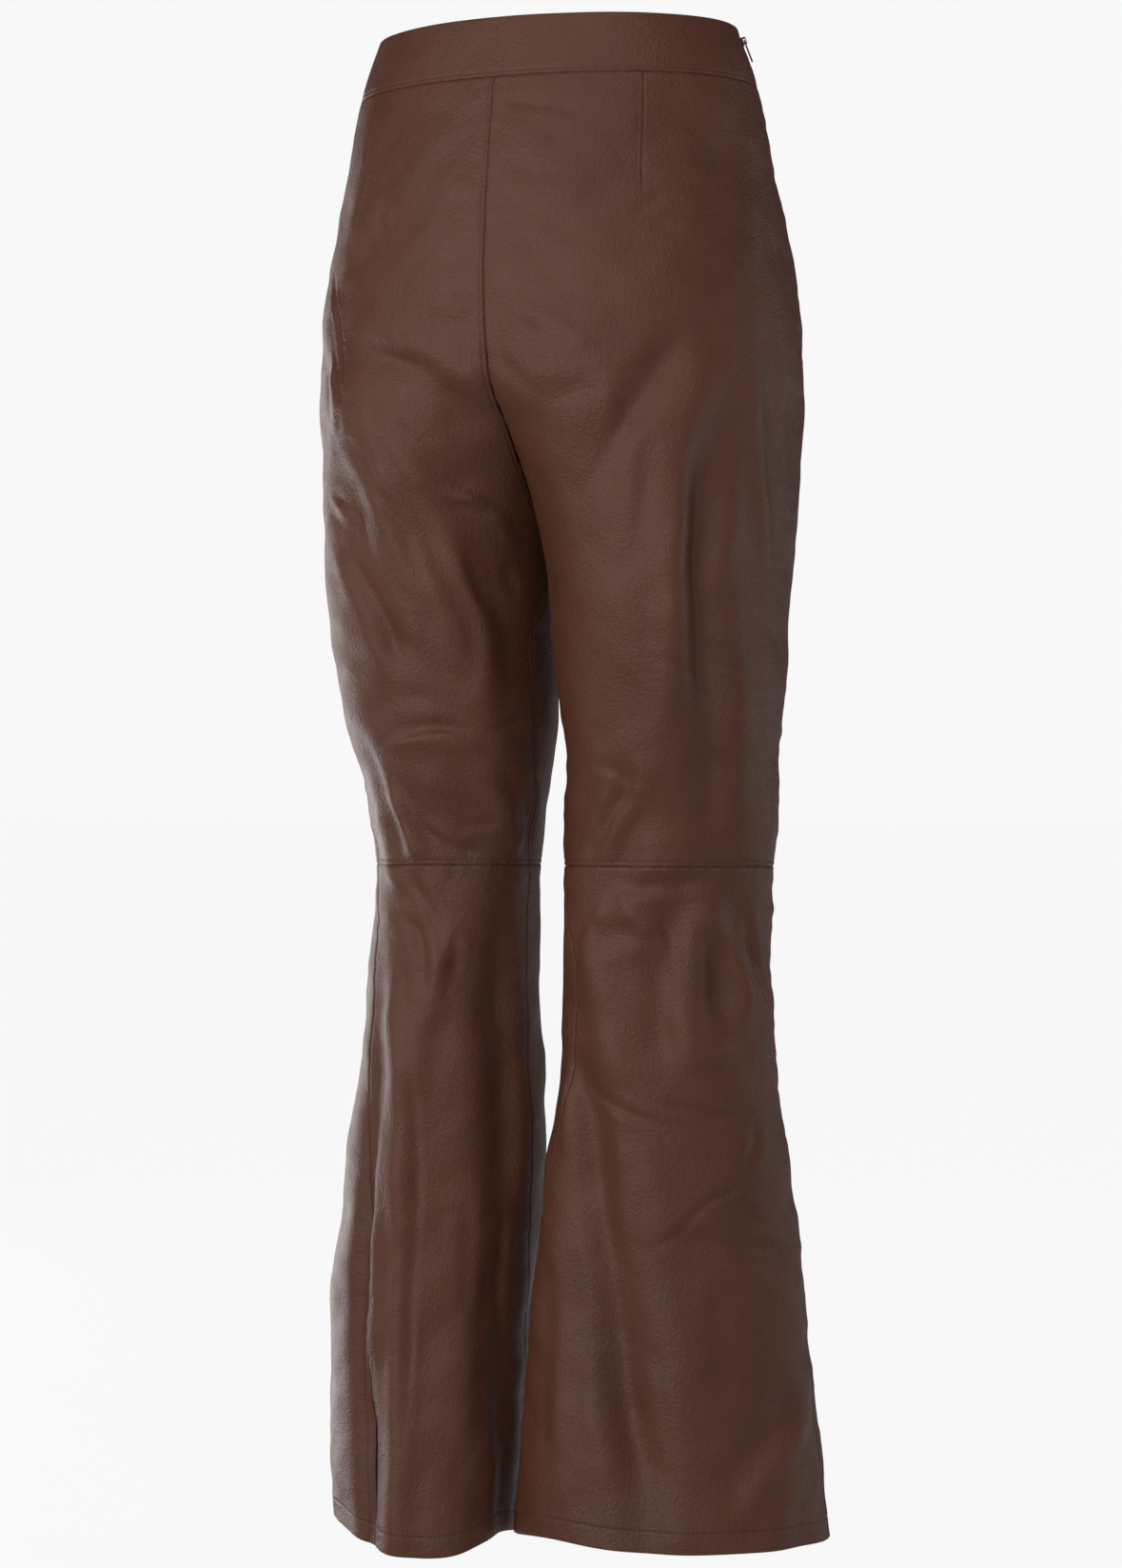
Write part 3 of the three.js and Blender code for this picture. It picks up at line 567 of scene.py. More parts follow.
def ripple(side, z, angle, radius):
    """Slow waviness, so that no stretch of cloth is dead smooth."""
    phases = np.random.default_rng(RIPPLE_SEED[side]).uniform(0, FULL_TURN, (2, len(RIPPLES)))
    x = (np.degrees(angle) % 360) * math.pi / 180 * radius
    x = np.minimum(x, FULL_TURN * radius - x)
    total = np.zeros(np.broadcast(x, z).shape)
    for i, (wavelength, direction, height) in enumerate(RIPPLES):
        turn = math.radians(direction)
        run = x * math.cos(turn) + z * math.sin(turn)
        bend = RIPPLE_BEND * np.sin(FULL_TURN * z / (RIPPLE_BEND_LENGTH * wavelength) + phases[1, i])
        total += height * np.sin(FULL_TURN * run / wavelength + phases[0, i] + bend)
    return total


def pucker(kind, order, run, distance):
    """Small waves that fan out from a seam and die away from it."""
    phases = np.random.default_rng(PUCKER_SEED + order).uniform(0, FULL_TURN, 8)
    slant, slant_length = PUCKER_SLANT
    drift, drift_length = PUCKER_DRIFT
    mean, swing, long_beat, short_beat = PUCKER_STRENGTH
    slanted = run + slant * distance * np.sin(run / slant_length + phases[0])
    wave = 0
    for i, (length, share) in enumerate(PUCKER_WAVES):
        drifting = drift * np.sin(run / drift_length + phases[i + 4])
        wave = wave + share * np.sin(FULL_TURN * slanted / length + phases[i] + drifting)
    beat = np.sin(run / long_beat + phases[1]) * np.sin(run / short_beat + phases[2])
    return PUCKER_HEIGHT[kind] * (mean + swing * beat) * wave * np.exp(-np.abs(distance) / PUCKER_REACH[kind])


def innermost_angle(side, z):
    """The angle at which the section comes nearest to the middle of the body."""
    sign = SIDE_SIGN[side]
    low, high = (np.full(z.shape, math.radians(angle)) for angle in INNER_SEARCH)
    for _ in range(HALVINGS):
        a = mix(low, high, 1 / 3)
        b = mix(low, high, 2 / 3)
        first_nearer = base_point(side, z, a)[..., 0] * sign < base_point(side, z, b)[..., 0] * sign
        high = np.where(first_nearer, b, high)
        low = np.where(first_nearer, low, a)
    return (low + high) / 2


def middle_angle(side, z, clear, crossed):
    """The angle where the section meets the middle of the body."""
    outer = np.full(z.shape, clear)
    inner = crossed.copy()
    for _ in range(HALVINGS):
        half = (outer + inner) / 2
        outside = base_point(side, z, half)[..., 0] * SIDE_SIGN[side] > SEAM_GAP / 2
        outer = np.where(outside, half, outer)
        inner = np.where(outside, inner, half)
    return outer


def crotch_level(side):
    high, low = CROTCH_SEARCH
    for _ in range(HALVINGS):
        half = np.array([(high + low) / 2.0])
        inner = innermost_angle(side, half)
        crossed = base_point(side, half, inner)[0, 0] * SIDE_SIGN[side] < SEAM_GAP / 2
        if crossed:
            high = half[0]
        else:
            low = half[0]
    return low


CROTCH_Z = {side: crotch_level(side) for side in SIDE_SIGN}


def slit_share(side, z):
    return smooth((SLIT_TOP - z) / (SLIT_TOP - HEM_Z[side]))


def slit_half(side, z):
    """Half the width of the slit. The far leg's lips hang together again at the hem."""
    share = slit_share(side, z)
    return SLIT_HALF_WIDTH[side] * share * (1 - SLIT_CLOSING[side] * share**4)


def seam_half(side, z):
    slot = smooth((z - SLOT_BOTTOM) / SLOT_FADE + 0.5) if side == "left" else 0
    return mix(SEAM_GAP / 2, SLOT_HALF_WIDTH, slot) + slit_half(side, z)


def outseam_angle(side, z, direction):
    angle = np.radians(RINGS[side]["outseam"](z))
    return angle + direction * seam_half(side, z) / speed(side, z, angle)


def inseam_angle(side, z, direction):
    inner = innermost_angle(side, z)
    above = middle_angle(side, z, math.radians(CLEAR_ANGLE[direction]), inner)
    swing = smooth((CROTCH_Z[side] - z) / INSEAM_SWING)
    below = mix(inner, math.pi - np.radians(RINGS[side]["inseam"](z)), swing)
    below = below + direction * SEAM_GAP / 2 / speed(side, z, below)
    return np.where(z > CROTCH_Z[side], above, below)


def panel_edges(side, face, z):
    """The angles of a panel's outer edge, at the side seam, and of its inner edge."""
    if face == "front":
        return outseam_angle(side, z, 1), inseam_angle(side, z, -1)
    return FULL_TURN + outseam_angle(side, z, -1), inseam_angle(side, z, 1)


def hem_rise(side, z, angle):
    rises = (rise * bell(wrapped(np.degrees(angle) - place), reach) for rise, place, reach in HEM_RISES[side])
    return slit_share(side, z) * sum(rises)


def panel_dart(side, face):
    return next(dart for dart in DARTS if dart[:2] == (side, face))


def dart_angle(dart, z):
    """The dart's line at a level, in degrees."""
    top_angle, top_z, tip_angle, tip_z = dart[2:]
    return mix(top_angle, tip_angle, np.clip((top_z - z) / (top_z - tip_z), 0, 1))


def dart_lift(side, face, z, angle, radius):
    """The pressed line of a dart, the fold under it and the line of stitches beside it."""
    dart = panel_dart(side, face)
    distance = wrapped(np.degrees(angle) - dart_angle(dart, z)) * math.pi / 180 * radius
    above_tip = z - dart[-1]
    fade = smooth(above_tip / DART_FADE)
    fold = smooth((distance + 0.5) / DART_FOLD_SOFT) * smooth((DART_FOLD_WIDTH - distance) / DART_FOLD_SOFT)
    lift = DART_FOLD * fold - DART_DEPTH * bell(distance, DART_HALF_WIDTH)
    lift = fade * (lift - DART_STITCH_DEPTH * bell(distance - DART_STITCH, STITCH_HALF_WIDTH))
    bump, bump_width, bump_drop = DART_BUMP
    dimple, dimple_width, dimple_drop = DART_DIMPLE
    lift = lift + bump * bell(np.hypot(distance, (above_tip + bump_drop) * DART_BUMP_STRETCH), bump_width)
    beside = np.hypot(distance - DART_DIMPLE_SIDE, above_tip + dimple_drop)
    return lift + dimple * bell(beside, dimple_width)


def edge_gaps(side, face, z, angle, top, bottom):
    """How far a point is from its panel's side edge, middle edge, top and bottom."""
    outer, inner = panel_edges(side, face, z)
    pace = speed(side, z, angle)
    return {
        "side": np.abs(angle - outer) * pace,
        "middle": np.abs(angle - inner) * pace,
        "top": top - z,
        "bottom": z - bottom,
    }


def rounded(distance, thickness):
    """How far a free edge's faces draw in, so that it looks rolled."""
    near = np.clip(1 - distance / (thickness * EDGE_ROLL), 0, 1)
    return thickness * EDGE_ROLL_DEPTH * (1 - np.sqrt(np.clip(1 - near**2, 0, 1)))


ZONES = {
    "band": (BAND_TOP, BAND_BOTTOM),
    "upper": (BAND_BOTTOM - SEAM_GAP, KNEE_Z + SEAM_GAP / 2),
    "lower": (KNEE_Z - SEAM_GAP / 2, None),
}
# Its seams besides the side seam, and how far above its bottom a line of stitches runs
ZONE_SEAMS = {"band": ["bottom"], "upper": ["middle", "top", "bottom"], "lower": ["middle", "top"]}
ZONE_STITCH = {"band": EDGE_STITCH_OFFSET, "upper": STITCH_OFFSET, "lower": HEM_STITCH}


def zone_ends(zone, side):
    top, bottom = ZONES[zone]
    return top, HEM_Z[side] if bottom is None else bottom


def zone_cloth(zone, side, z):
    if zone == "band":
        return np.full(z.shape, float(BAND_CLOTH))
    into_turn = (HEM_Z[side] + HEM_TURN - z) / HEM_STEP + 0.5
    return mix(CLOTH, HEM_CLOTH, smooth(into_turn))


def cloth_surface(zone, side, face, z, angle):
    """Points of the cloth's outer face, the way out of it, its thickness and its relief."""
    z, angle = np.broadcast_arrays(np.asarray(z, float), np.asarray(angle, float))
    top, bottom = zone_ends(zone, side)
    radius = mean_radius(side, z)
    base = base_point(side, z, angle)
    out = outward(side, z, angle)
    gaps = edge_gaps(side, face, z, angle, top, bottom)
    from_middle = base[..., 0] * SIDE_SIGN[side]
    calm = np.where(z > CALM_BOTTOM, smooth((from_middle - CALM_CLEAR) / CALM_LENGTH), 1)
    quiet = np.where(z > CALM_BOTTOM, smooth(from_middle / QUIET_LENGTH), 1)

    relief = sum(fold_lift(fold, side, z, angle, radius) for fold in FOLDS if fold[0] == side) * calm
    fine = np.zeros(z.shape)
    for order, crease in enumerate(CREASES):
        if crease[0] == side:
            fine += crease_lift(crease, order, z, angle, radius)
    by_waist = smooth((z - WAIST_RIPPLE_FROM) / WAIST_RIPPLE_LENGTH)
    wave = ripple(side, z, angle, radius) * quiet * mix(1, WAIST_RIPPLE, by_waist)
    relief = relief + fine * quiet + wave

    run = angle * radius
    order = 1 if side == "left" else 2
    puckers = {
        "band": [("waist", 6, run, gaps["bottom"])],
        "upper": [("middle", 3, z, gaps["middle"]), ("waist", 6, run, gaps["top"]),
                  ("knee", 6 + order, run, gaps["bottom"])],
        "lower": [("middle", 3 + order, z, gaps["middle"]), ("knee", 6 + order, run, gaps["top"]),
                  ("hem", 8 + order, run, np.abs(gaps["bottom"] - HEM_STITCH))],
    }
    seamed = 1 - slit_share(side, z)
    relief = relief + pucker("side", order, z, gaps["side"]) * seamed
    relief = relief + sum(pucker(*fan) for fan in puckers[zone])

    opened = np.where(z < SLIT_TOP, 1, 0)
    lift = relief - SEAM_DEPTH * seamed * bell(gaps["side"], SEAM_HALF_WIDTH)
    lift = lift - SEAM_DEPTH * sum(bell(gaps[edge], SEAM_HALF_WIDTH) for edge in ZONE_SEAMS[zone])
    lift = lift - STITCH_DEPTH * bell(gaps["bottom"] - ZONE_STITCH[zone], STITCH_HALF_WIDTH)
    lift = lift - STITCH_DEPTH * opened * bell(gaps["side"] - SLIT_STITCH, STITCH_HALF_WIDTH)
    if zone == "upper":
        lift = lift + dart_lift(side, face, z, angle, radius)
        if side == "right":
            lift = lift - STITCH_DEPTH * bell(gaps["middle"] - EDGE_STITCH_OFFSET, STITCH_HALF_WIDTH)
    free = rounded(gaps["side"], CLOTH) * opened
    if zone == "band":
        free = rounded(gaps["top"], BAND_CLOTH)
    elif zone == "lower":
        free = np.maximum(rounded(gaps["bottom"], HEM_CLOTH), free)

    thickness = zone_cloth(zone, side, z) - 2 * free
    points = base + out * (lift - free)[..., None]
    points[..., 2] += hem_rise(side, z, angle)
    seam = np.minimum(np.minimum(gaps["side"], gaps["middle"]), np.abs(gaps["bottom"]))
    seam = seam if zone == "band" else np.minimum(seam, gaps["top"])
    return points, out, thickness, relief, seam


def spaced(top, bottom, extras=()):
    """Levels from top to bottom, closer together beside both ends and round the extras."""
    inner_top = top - EDGE_STEPS[-1]
    inner_bottom = bottom + EDGE_STEPS[-1]
    count = int(np.ceil((inner_top - inner_bottom) / GRID))
    even = np.linspace(inner_top, inner_bottom, count + 1)
    levels = np.concatenate([top - EDGE_STEPS[:-1], even, bottom + EDGE_STEPS[:-1]])
    extras = np.array([z for z in extras if bottom + ENDS_CLEAR < z < top - ENDS_CLEAR])
    if len(extras):
        crowd = np.abs(levels[:, None] - extras[None]).min(1)
        levels = np.concatenate([levels[crowd > FINE_NEAR], extras])
    return np.sort(levels)[::-1]


def column_angles(side, face, z, middle_columns, dart=None):
    """Angles across a panel at each level, closer together beside its edges and its dart."""
    outer, inner = panel_edges(side, face, z)
    way = np.sign(inner - outer)
    from_outer = outer[:, None] + (way / speed(side, z, outer))[:, None] * EDGE_STEPS
    from_inner = inner[:, None] - (way / speed(side, z, inner))[:, None] * EDGE_STEPS[::-1]
    if dart is None:
        shares = np.linspace(0, 1, middle_columns + 2)[1:-1]
        between = from_outer[:, -1:] + (from_inner[:, :1] - from_outer[:, -1:]) * shares
        return np.hstack([from_outer, between, from_inner])
    line = np.radians(dart_angle(dart, z)) + (FULL_TURN if face == "back" else 0)
    steps = DART_STEPS if way[0] > 0 else DART_STEPS[::-1]
    round_dart = line[:, None] + steps / mean_radius(side, z)[:, None]
    half = middle_columns // 2
    shares = np.linspace(0, 1, half + 2)[1:-1]
    first = from_outer[:, -1:] + (round_dart[:, :1] - from_outer[:, -1:]) * shares
    second = round_dart[:, -1:] + (from_inner[:, :1] - round_dart[:, -1:]) * shares
    return np.hstack([from_outer, first, round_dart, second, from_inner])


def grid_faces(rows, columns):
    """Faces of a closed wall: outer points first, then as many inner points."""
    index = np.arange(rows * columns).reshape(rows, columns)
    layer = rows * columns
    a, b, c, d = index[:-1, :-1], index[1:, :-1], index[1:, 1:], index[:-1, 1:]
    outer = np.stack([a, b, c, d], -1).reshape(-1, 4)
    inner = np.stack([a, d, c, b], -1).reshape(-1, 4) + layer
    ring = np.concatenate([index[0, :-1], index[:-1, -1], index[-1, :0:-1], index[:0:-1, 0]])
    following = np.roll(ring, -1)
    rim = np.stack([ring, following, following + layer, ring + layer], -1)
    return outer, inner, rim


def signed_volume(points, faces):
    a, b, c, d = (points[faces[:, k]] for k in range(4))
    return (np.einsum("ij,ij->", a, np.cross(b, c)) + np.einsum("ij,ij->", a, np.cross(c, d))) / 6


def linked(name, data):
    """An object of the scene that shows a mesh, a light or a camera."""
    thing = bpy.data.objects.new(name, data)
    bpy.context.collection.objects.link(thing)
    return thing


CLOTH_SHARP = 50


def make_mesh(name, points, faces, materials, kinds=None, values=None):
    """A smooth-shaded object from points in millimetres."""
    mesh = bpy.data.meshes.new(name)
    mesh.from_pydata((np.asarray(points) * MM).tolist(), [], np.asarray(faces).tolist())
    for material in materials:
        mesh.materials.append(material)
    if kinds is not None:
        mesh.polygons.foreach_set("material_index", np.asarray(kinds, np.int32))
    for key, numbers in (values or {}).items():
        layer = mesh.attributes.new(key, "FLOAT", "POINT")
        layer.data.foreach_set("value", np.asarray(numbers, np.float32))
    mesh.polygons.foreach_set("use_smooth", np.ones(len(mesh.polygons), bool))
    mesh.set_sharp_from_angle(angle=math.radians(CLOTH_SHARP))
    mesh.update()
    return linked(name, mesh)


def wall_object(name, outer, out, thickness, relief, seam):
    rows, columns = outer.shape[:2]
    inner = outer - out * thickness[..., None]
    points = np.concatenate([outer.reshape(-1, 3), inner.reshape(-1, 3)])
    outer_faces, inner_faces, rim = grid_faces(rows, columns)
    faces = np.concatenate([outer_faces, rim, inner_faces])
    if signed_volume(points, faces) < 0:
        faces = faces[:, ::-1]
    kinds = np.repeat([0, 0, 1], [len(outer_faces), len(rim), len(inner_faces)])
    values = {"relief": np.tile(relief.ravel(), 2), "seam": np.tile(seam.ravel(), 2)}
    return make_mesh(name, points, faces, [LEATHER, BACKING], kinds, values)


def flat_cut(outer):
    """The width, length and area, in metres, that a panel was cut to."""
    across = np.linalg.norm(np.diff(outer, axis=1), axis=-1).sum(1).max()
    down = np.linalg.norm(np.diff(outer, axis=0), axis=-1).sum(0).max()
    sides = np.cross(outer[1:, 1:] - outer[:-1, :-1], outer[1:, :-1] - outer[:-1, 1:])
    area = np.linalg.norm(sides, axis=-1).sum() / 2
    return (across * MM, down * MM), area * MM * MM


def noise(nodes, links, place, scale, detail, roughness=0.5):
    node = nodes.new("ShaderNodeTexNoise")
    links.new(place, node.inputs["Vector"])
    node.inputs["Scale"].default_value = scale
    node.inputs["Detail"].default_value = detail
    node.inputs["Roughness"].default_value = roughness
    return node.outputs["Fac"]


def new_material(name):
    material = bpy.data.materials.new(name)
    material.use_nodes = True
    nodes = material.node_tree.nodes
    links = material.node_tree.links
    shader = nodes["Principled BSDF"]
    place = nodes.new("ShaderNodeTexCoord").outputs["Object"]
    return material, nodes, links, shader, place


def scaled(nodes, links, source, from_low, from_high, low, high):
    node = nodes.new("ShaderNodeMapRange")
    node.inputs["From Min"].default_value = from_low
    node.inputs["From Max"].default_value = from_high
    node.inputs["To Min"].default_value = low
    node.inputs["To Max"].default_value = high
    links.new(source, node.inputs["Value"])
    return node.outputs["Result"]


def attribute(nodes, name):
    node = nodes.new("ShaderNodeAttribute")
    node.attribute_name = name
    return node.outputs["Fac"]


def blended(nodes, links, factor, first, second):
    """A mix of two colours. Each is a colour or another node's output."""
    node = nodes.new("ShaderNodeMix")
    node.data_type = "RGBA"
    links.new(factor, node.inputs["Factor"])
    for socket, colour in ((node.inputs["A"], first), (node.inputs["B"], second)):
        if isinstance(colour, tuple):
            socket.default_value = (*colour, 1)
        else:
            links.new(colour, socket)
    return node.outputs["Result"]


def bumped(nodes, links, height, strength, distance, below=None):
    node = nodes.new("ShaderNodeBump")
    node.inputs["Strength"].default_value = strength
    node.inputs["Distance"].default_value = distance
    links.new(height, node.inputs["Height"])
    if below is not None:
        links.new(below, node.inputs["Normal"])
    return node.outputs["Normal"]


LEATHER_BROWN = (0.119, 0.0425, 0.0248)
# The darker brown serves both the random cloudy tone and the painted shade along the seams
LEATHER_DARK = (0.100, 0.0350, 0.0198)
# The lighter brown serves both the random worn mottle and the painted highlight on the tops of the folds
LEATHER_WEAR_AND_HIGHLIGHT = (0.138, 0.053, 0.0330)
GRAIN_CELLS = 700
FINE_GRAIN = 2600
WRINKLES = 260
# Strength and depth of each layer of the grain, from the coarsest
WRINKLE_BUMP = (0.8, 0.0008)
GRAIN_BUMP = (0.8, 0.0004)
FINE_BUMP = (0.25, 0.0001)
GLOSS = (0.38, 0.46)
GLOSS_MOTTLE = (-0.03, 0.05)
SHEEN_LEVEL = 0.33
SHEEN_TINT = (1, 0.96, 0.91, 1)


def leather_material():
    """Smooth coated leather: pebbled grain, faint stretch marks, uneven gloss and colour, a painted highlight
    on the tops of the folds and painted shade along the seams.
    """
    material, nodes, links, shader, place = new_material("brown_leather")

    cloudy = noise(nodes, links, place, 9, 4)
    mottled = noise(nodes, links, place, 70, 5, 0.6)
    clouds = scaled(nodes, links, cloudy, 0.35, 0.65, 0, 1)
    colour = blended(nodes, links, clouds, LEATHER_DARK, LEATHER_BROWN)
    worn = scaled(nodes, links, mottled, 0.4, 0.75, 0, 0.25)
    colour = blended(nodes, links, worn, colour, LEATHER_WEAR_AND_HIGHLIGHT)
    # Painted highlight: the tops of the folds, creases and ripples are painted in the lighter brown, the
    # higher the lighter
    raised = scaled(nodes, links, attribute(nodes, "relief"), 0.5, 8, 0, 0.4)
    colour = blended(nodes, links, raised, colour, LEATHER_WEAR_AND_HIGHLIGHT)
    # Painted shade: within about a millimetre and a half of the seams and panel edges the colour is painted
    # darker, as shade in the seam grooves
    painted_seam_shade = scaled(nodes, links, attribute(nodes, "seam"), 0.2, 1.6, 0.8, 0)
    colour = blended(nodes, links, painted_seam_shade, colour, LEATHER_DARK)
    links.new(colour, shader.inputs["Base Color"])

    grain = nodes.new("ShaderNodeTexVoronoi")
    grain.feature = "SMOOTH_F1"
    grain.inputs["Scale"].default_value = GRAIN_CELLS
    grain.inputs["Smoothness"].default_value = 0.6
    links.new(place, grain.inputs["Vector"])
    fine = noise(nodes, links, place, FINE_GRAIN, 3, 0.6)
    wrinkles = noise(nodes, links, place, WRINKLES, 5, 0.62)
    normal = bumped(nodes, links, wrinkles, *WRINKLE_BUMP)
    normal = bumped(nodes, links, grain.outputs["Distance"], *GRAIN_BUMP, normal)
    normal = bumped(nodes, links, fine, *FINE_BUMP, normal)
    links.new(normal, shader.inputs["Normal"])

    rubbed = nodes.new("ShaderNodeMath")
    rubbed.operation = "ADD"
    links.new(scaled(nodes, links, cloudy, 0.3, 0.7, *GLOSS), rubbed.inputs[0])
    links.new(scaled(nodes, links, mottled, 0.35, 0.7, *GLOSS_MOTTLE), rubbed.inputs[1])
    links.new(rubbed.outputs["Value"], shader.inputs["Roughness"])
    shader.inputs["Specular IOR Level"].default_value = SHEEN_LEVEL
    shader.inputs["Specular Tint"].default_value = SHEEN_TINT
    return material


def plain_material(name, pattern_kind, settings, colours, bump, roughness, span=(0, 1)):
    """A cloth whose colour and relief follow one pattern. bump is a strength and a depth."""
    material, nodes, links, shader, place = new_material(name)
    pattern = nodes.new(f"ShaderNodeTex{pattern_kind}")
    for key, value in settings.items():
        pattern.inputs[key].default_value = value
    links.new(place, pattern.inputs["Vector"])
    height = pattern.outputs["Fac"]
    share = height if span == (0, 1) else scaled(nodes, links, height, *span, 0, 1)
    links.new(blended(nodes, links, share, *colours), shader.inputs["Base Color"])
    links.new(bumped(nodes, links, height, *bump), shader.inputs["Normal"])
    shader.inputs["Roughness"].default_value = roughness
    return material, pattern


def backing_material():
    """The leather's inner face: a dull, brushed knit backing."""
    fibres = {"Scale": 900, "Detail": 4, "Roughness": 0.7}
    colours = ((0.030, 0.016, 0.012), (0.060, 0.034, 0.025))
    return plain_material("brushed_backing", "Noise", fibres, colours, (0.5, 0.0003), 0.92, (0.3, 0.7))[0]


def thread_material():
    """Twisted sewing thread, a shade darker than the leather."""
    twist = {"Scale": 900, "Distortion": 1.5}
    colours = ((0.034, 0.015, 0.011), (0.070, 0.034, 0.025))
    material, pattern = plain_material("sewing_thread", "Wave", twist, colours, (0.4, 0.0001), 0.6)
    pattern.bands_direction = "DIAGONAL"
    return material


def tape_material():
    """Woven polyester tape."""
    weave = {"Scale": 500, "Distortion": 0.6}
    colours = ((0.016, 0.009, 0.007), (0.042, 0.024, 0.018))
    material, pattern = plain_material("woven_zip_tape", "Wave", weave, colours, (0.6, 0.0002), 0.85)
    pattern.bands_direction = "Z"
    return material


def zip_metal_material():
    """Brown enamel on zinc, rubbed thin in places."""
    material, nodes, links, shader, place = new_material("brown_enamel")
    rubbed = noise(nodes, links, place, 420, 5, 0.65)
    share = scaled(nodes, links, rubbed, 0.5, 0.75, 0, 0.2)
    colour = blended(nodes, links, share, (0.060, 0.026, 0.017), (0.12, 0.08, 0.06))
    links.new(colour, shader.inputs["Base Color"])
    links.new(scaled(nodes, links, rubbed, 0.3, 0.8, 0.42, 0.55), shader.inputs["Roughness"])
    shader.inputs["Metallic"].default_value = 0.2
    return material


LEATHER = leather_material()
BACKING = backing_material()
THREAD = thread_material()
TAPE = tape_material()
ZIP_METAL = zip_metal_material()


def panel_object(zone, side, face):
    """A leg panel as a thin closed shell on its solid's form."""
    top, bottom = zone_ends(zone, side)
    crotch = CROTCH_Z[side]
    extras = [crotch, *(crotch + CROTCH_STEPS), *(crotch - CROTCH_STEPS)]
    turn = HEM_Z[side] + HEM_TURN
    extras += [*(turn + HEM_STEPS), SLIT_TOP]
    z = spaced(top, bottom, extras)
    dart = panel_dart(side, face) if zone == "upper" else None
    angle = column_angles(side, face, z, PANEL_COLUMNS, dart)
    outer, out, thickness, relief, seam = cloth_surface(zone, side, face, z[:, None], angle)
    name = f"leather_{face}_{side}_{zone}"
    piece = wall_object(name, outer, out, thickness, relief, seam)
    return piece, flat_cut(outer)


def band_object(face):
    """A waistband panel, which runs across the middle from side seam to side seam."""
    z = spaced(BAND_TOP, BAND_BOTTOM)
    halves = []
    for side in ("left", "right"):
        outer, _ = panel_edges(side, face, z)
        middle = math.pi / 2 if face == "front" else 3 * math.pi / 2
        way = np.sign(middle - outer)
        from_outer = outer[:, None] + (way / speed(side, z, outer))[:, None] * EDGE_STEPS
        shares = np.linspace(0, 1, BAND_COLUMNS + 1)[1:]
        between = from_outer[:, -1:] + (middle - from_outer[:, -1:]) * shares
        angle = np.hstack([from_outer, between])
        halves.append(cloth_surface("band", side, face, z[:, None], angle))
    joined = [np.concatenate([a, b[:, -2::-1]], axis=1) for a, b in zip(*halves)]
    return wall_object(f"leather_waistband_{face}", *joined), flat_cut(joined[0])


def settle(piece, node=None, body="trousers"):
    """Put a piece on the body it rides on and hide the solid that it stands for."""
    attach(piece, body)
    if node:
        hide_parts(node)


THREAD_SIDES = 6
# A stitch from end to end: share of its length and of the thread's radius
STITCH_STATIONS = ((-0.5, 0.35), (-0.36, 0.9), (-0.15, 1), (0.15, 1), (0.36, 0.9), (0.5, 0.35))
STITCH_DIP = 0.55
THREAD_REST = 0.35
ROUND_SAMPLES = 160
UPRIGHT_SAMPLE = 2
DART_SAMPLES = 60


def stitch_mesh(name, lines):
    """Rows of stitches as one mesh. A line is points and outward directions along a seam."""
    ring = np.arange(THREAD_SIDES) * FULL_TURN / THREAD_SIDES
    points = []
    faces = []
    for path, out in lines:
        steps = np.linalg.norm(np.diff(path, axis=0), axis=1)
        run = np.concatenate([[0], np.cumsum(steps)])
        middles = np.arange(STITCH_PITCH / 2, run[-1], STITCH_PITCH)
        for middle in middles:
            along = np.clip(middle + np.array([-0.5, 0.5]) * STITCH_LENGTH, 0, run[-1])
            start, end = (np.array([np.interp(s, run, path[:, k]) for k in range(3)]) for s in along)
            normal = np.array([np.interp(middle, run, out[:, k]) for k in range(3)])
            axis = (end - start) / np.linalg.norm(end - start)
            side = np.cross(axis, normal)
            side /= np.linalg.norm(side)
            up = np.cross(side, axis)
            centre = (start + end) / 2
            first = len(points)
            for place, size in STITCH_STATIONS:
                dip = -STITCH_DIP * THREAD_RADIUS * (abs(place) * 2) ** 3
                hub = centre + axis * place * STITCH_LENGTH + up * dip
                for turn in ring:
                    spoke = side * math.cos(turn) + up * math.sin(turn)
                    points.append(hub + spoke * THREAD_RADIUS * size)
            for station in range(len(STITCH_STATIONS) - 1):
                low = first + station * THREAD_SIDES
                for k in range(THREAD_SIDES):
                    m = (k + 1) % THREAD_SIDES
                    faces.append((low + k, low + m, low + THREAD_SIDES + m, low + THREAD_SIDES + k))
            last = first + (len(STITCH_STATIONS) - 1) * THREAD_SIDES
            faces.append(tuple(first + k for k in reversed(range(THREAD_SIDES))))
            faces.append(tuple(last + k for k in range(THREAD_SIDES)))
    mesh = bpy.data.meshes.new(name)
    mesh.from_pydata((np.array(points) * MM).tolist(), [], faces)
    mesh.materials.append(THREAD)
    mesh.polygons.foreach_set("use_smooth", np.ones(len(mesh.polygons), bool))
    mesh.update()
    return linked(name, mesh)


def stitch_line(zone, side, face, z, angle):
    """A line of stitches that lies on the cloth."""
    points, out, *_ = cloth_surface(zone, side, face, z, angle)
    return points + out * THREAD_RADIUS * THREAD_REST, out


def edge_angle(side, face, z, edge, offset):
    """The angle of a line that runs beside a panel's side or middle edge."""
    outer, inner = panel_edges(side, face, z)
    way = np.sign(inner - outer)
    if edge == "side":
        return outer + way * offset / speed(side, z, outer)
    return inner - way * offset / speed(side, z, inner)


def upright_stitches(zone, side, face, edge, offset, top, bottom):
    z = np.linspace(top, bottom, int((top - bottom) / UPRIGHT_SAMPLE) + 2)
    return stitch_line(zone, side, face, z, edge_angle(side, face, z, edge, offset))


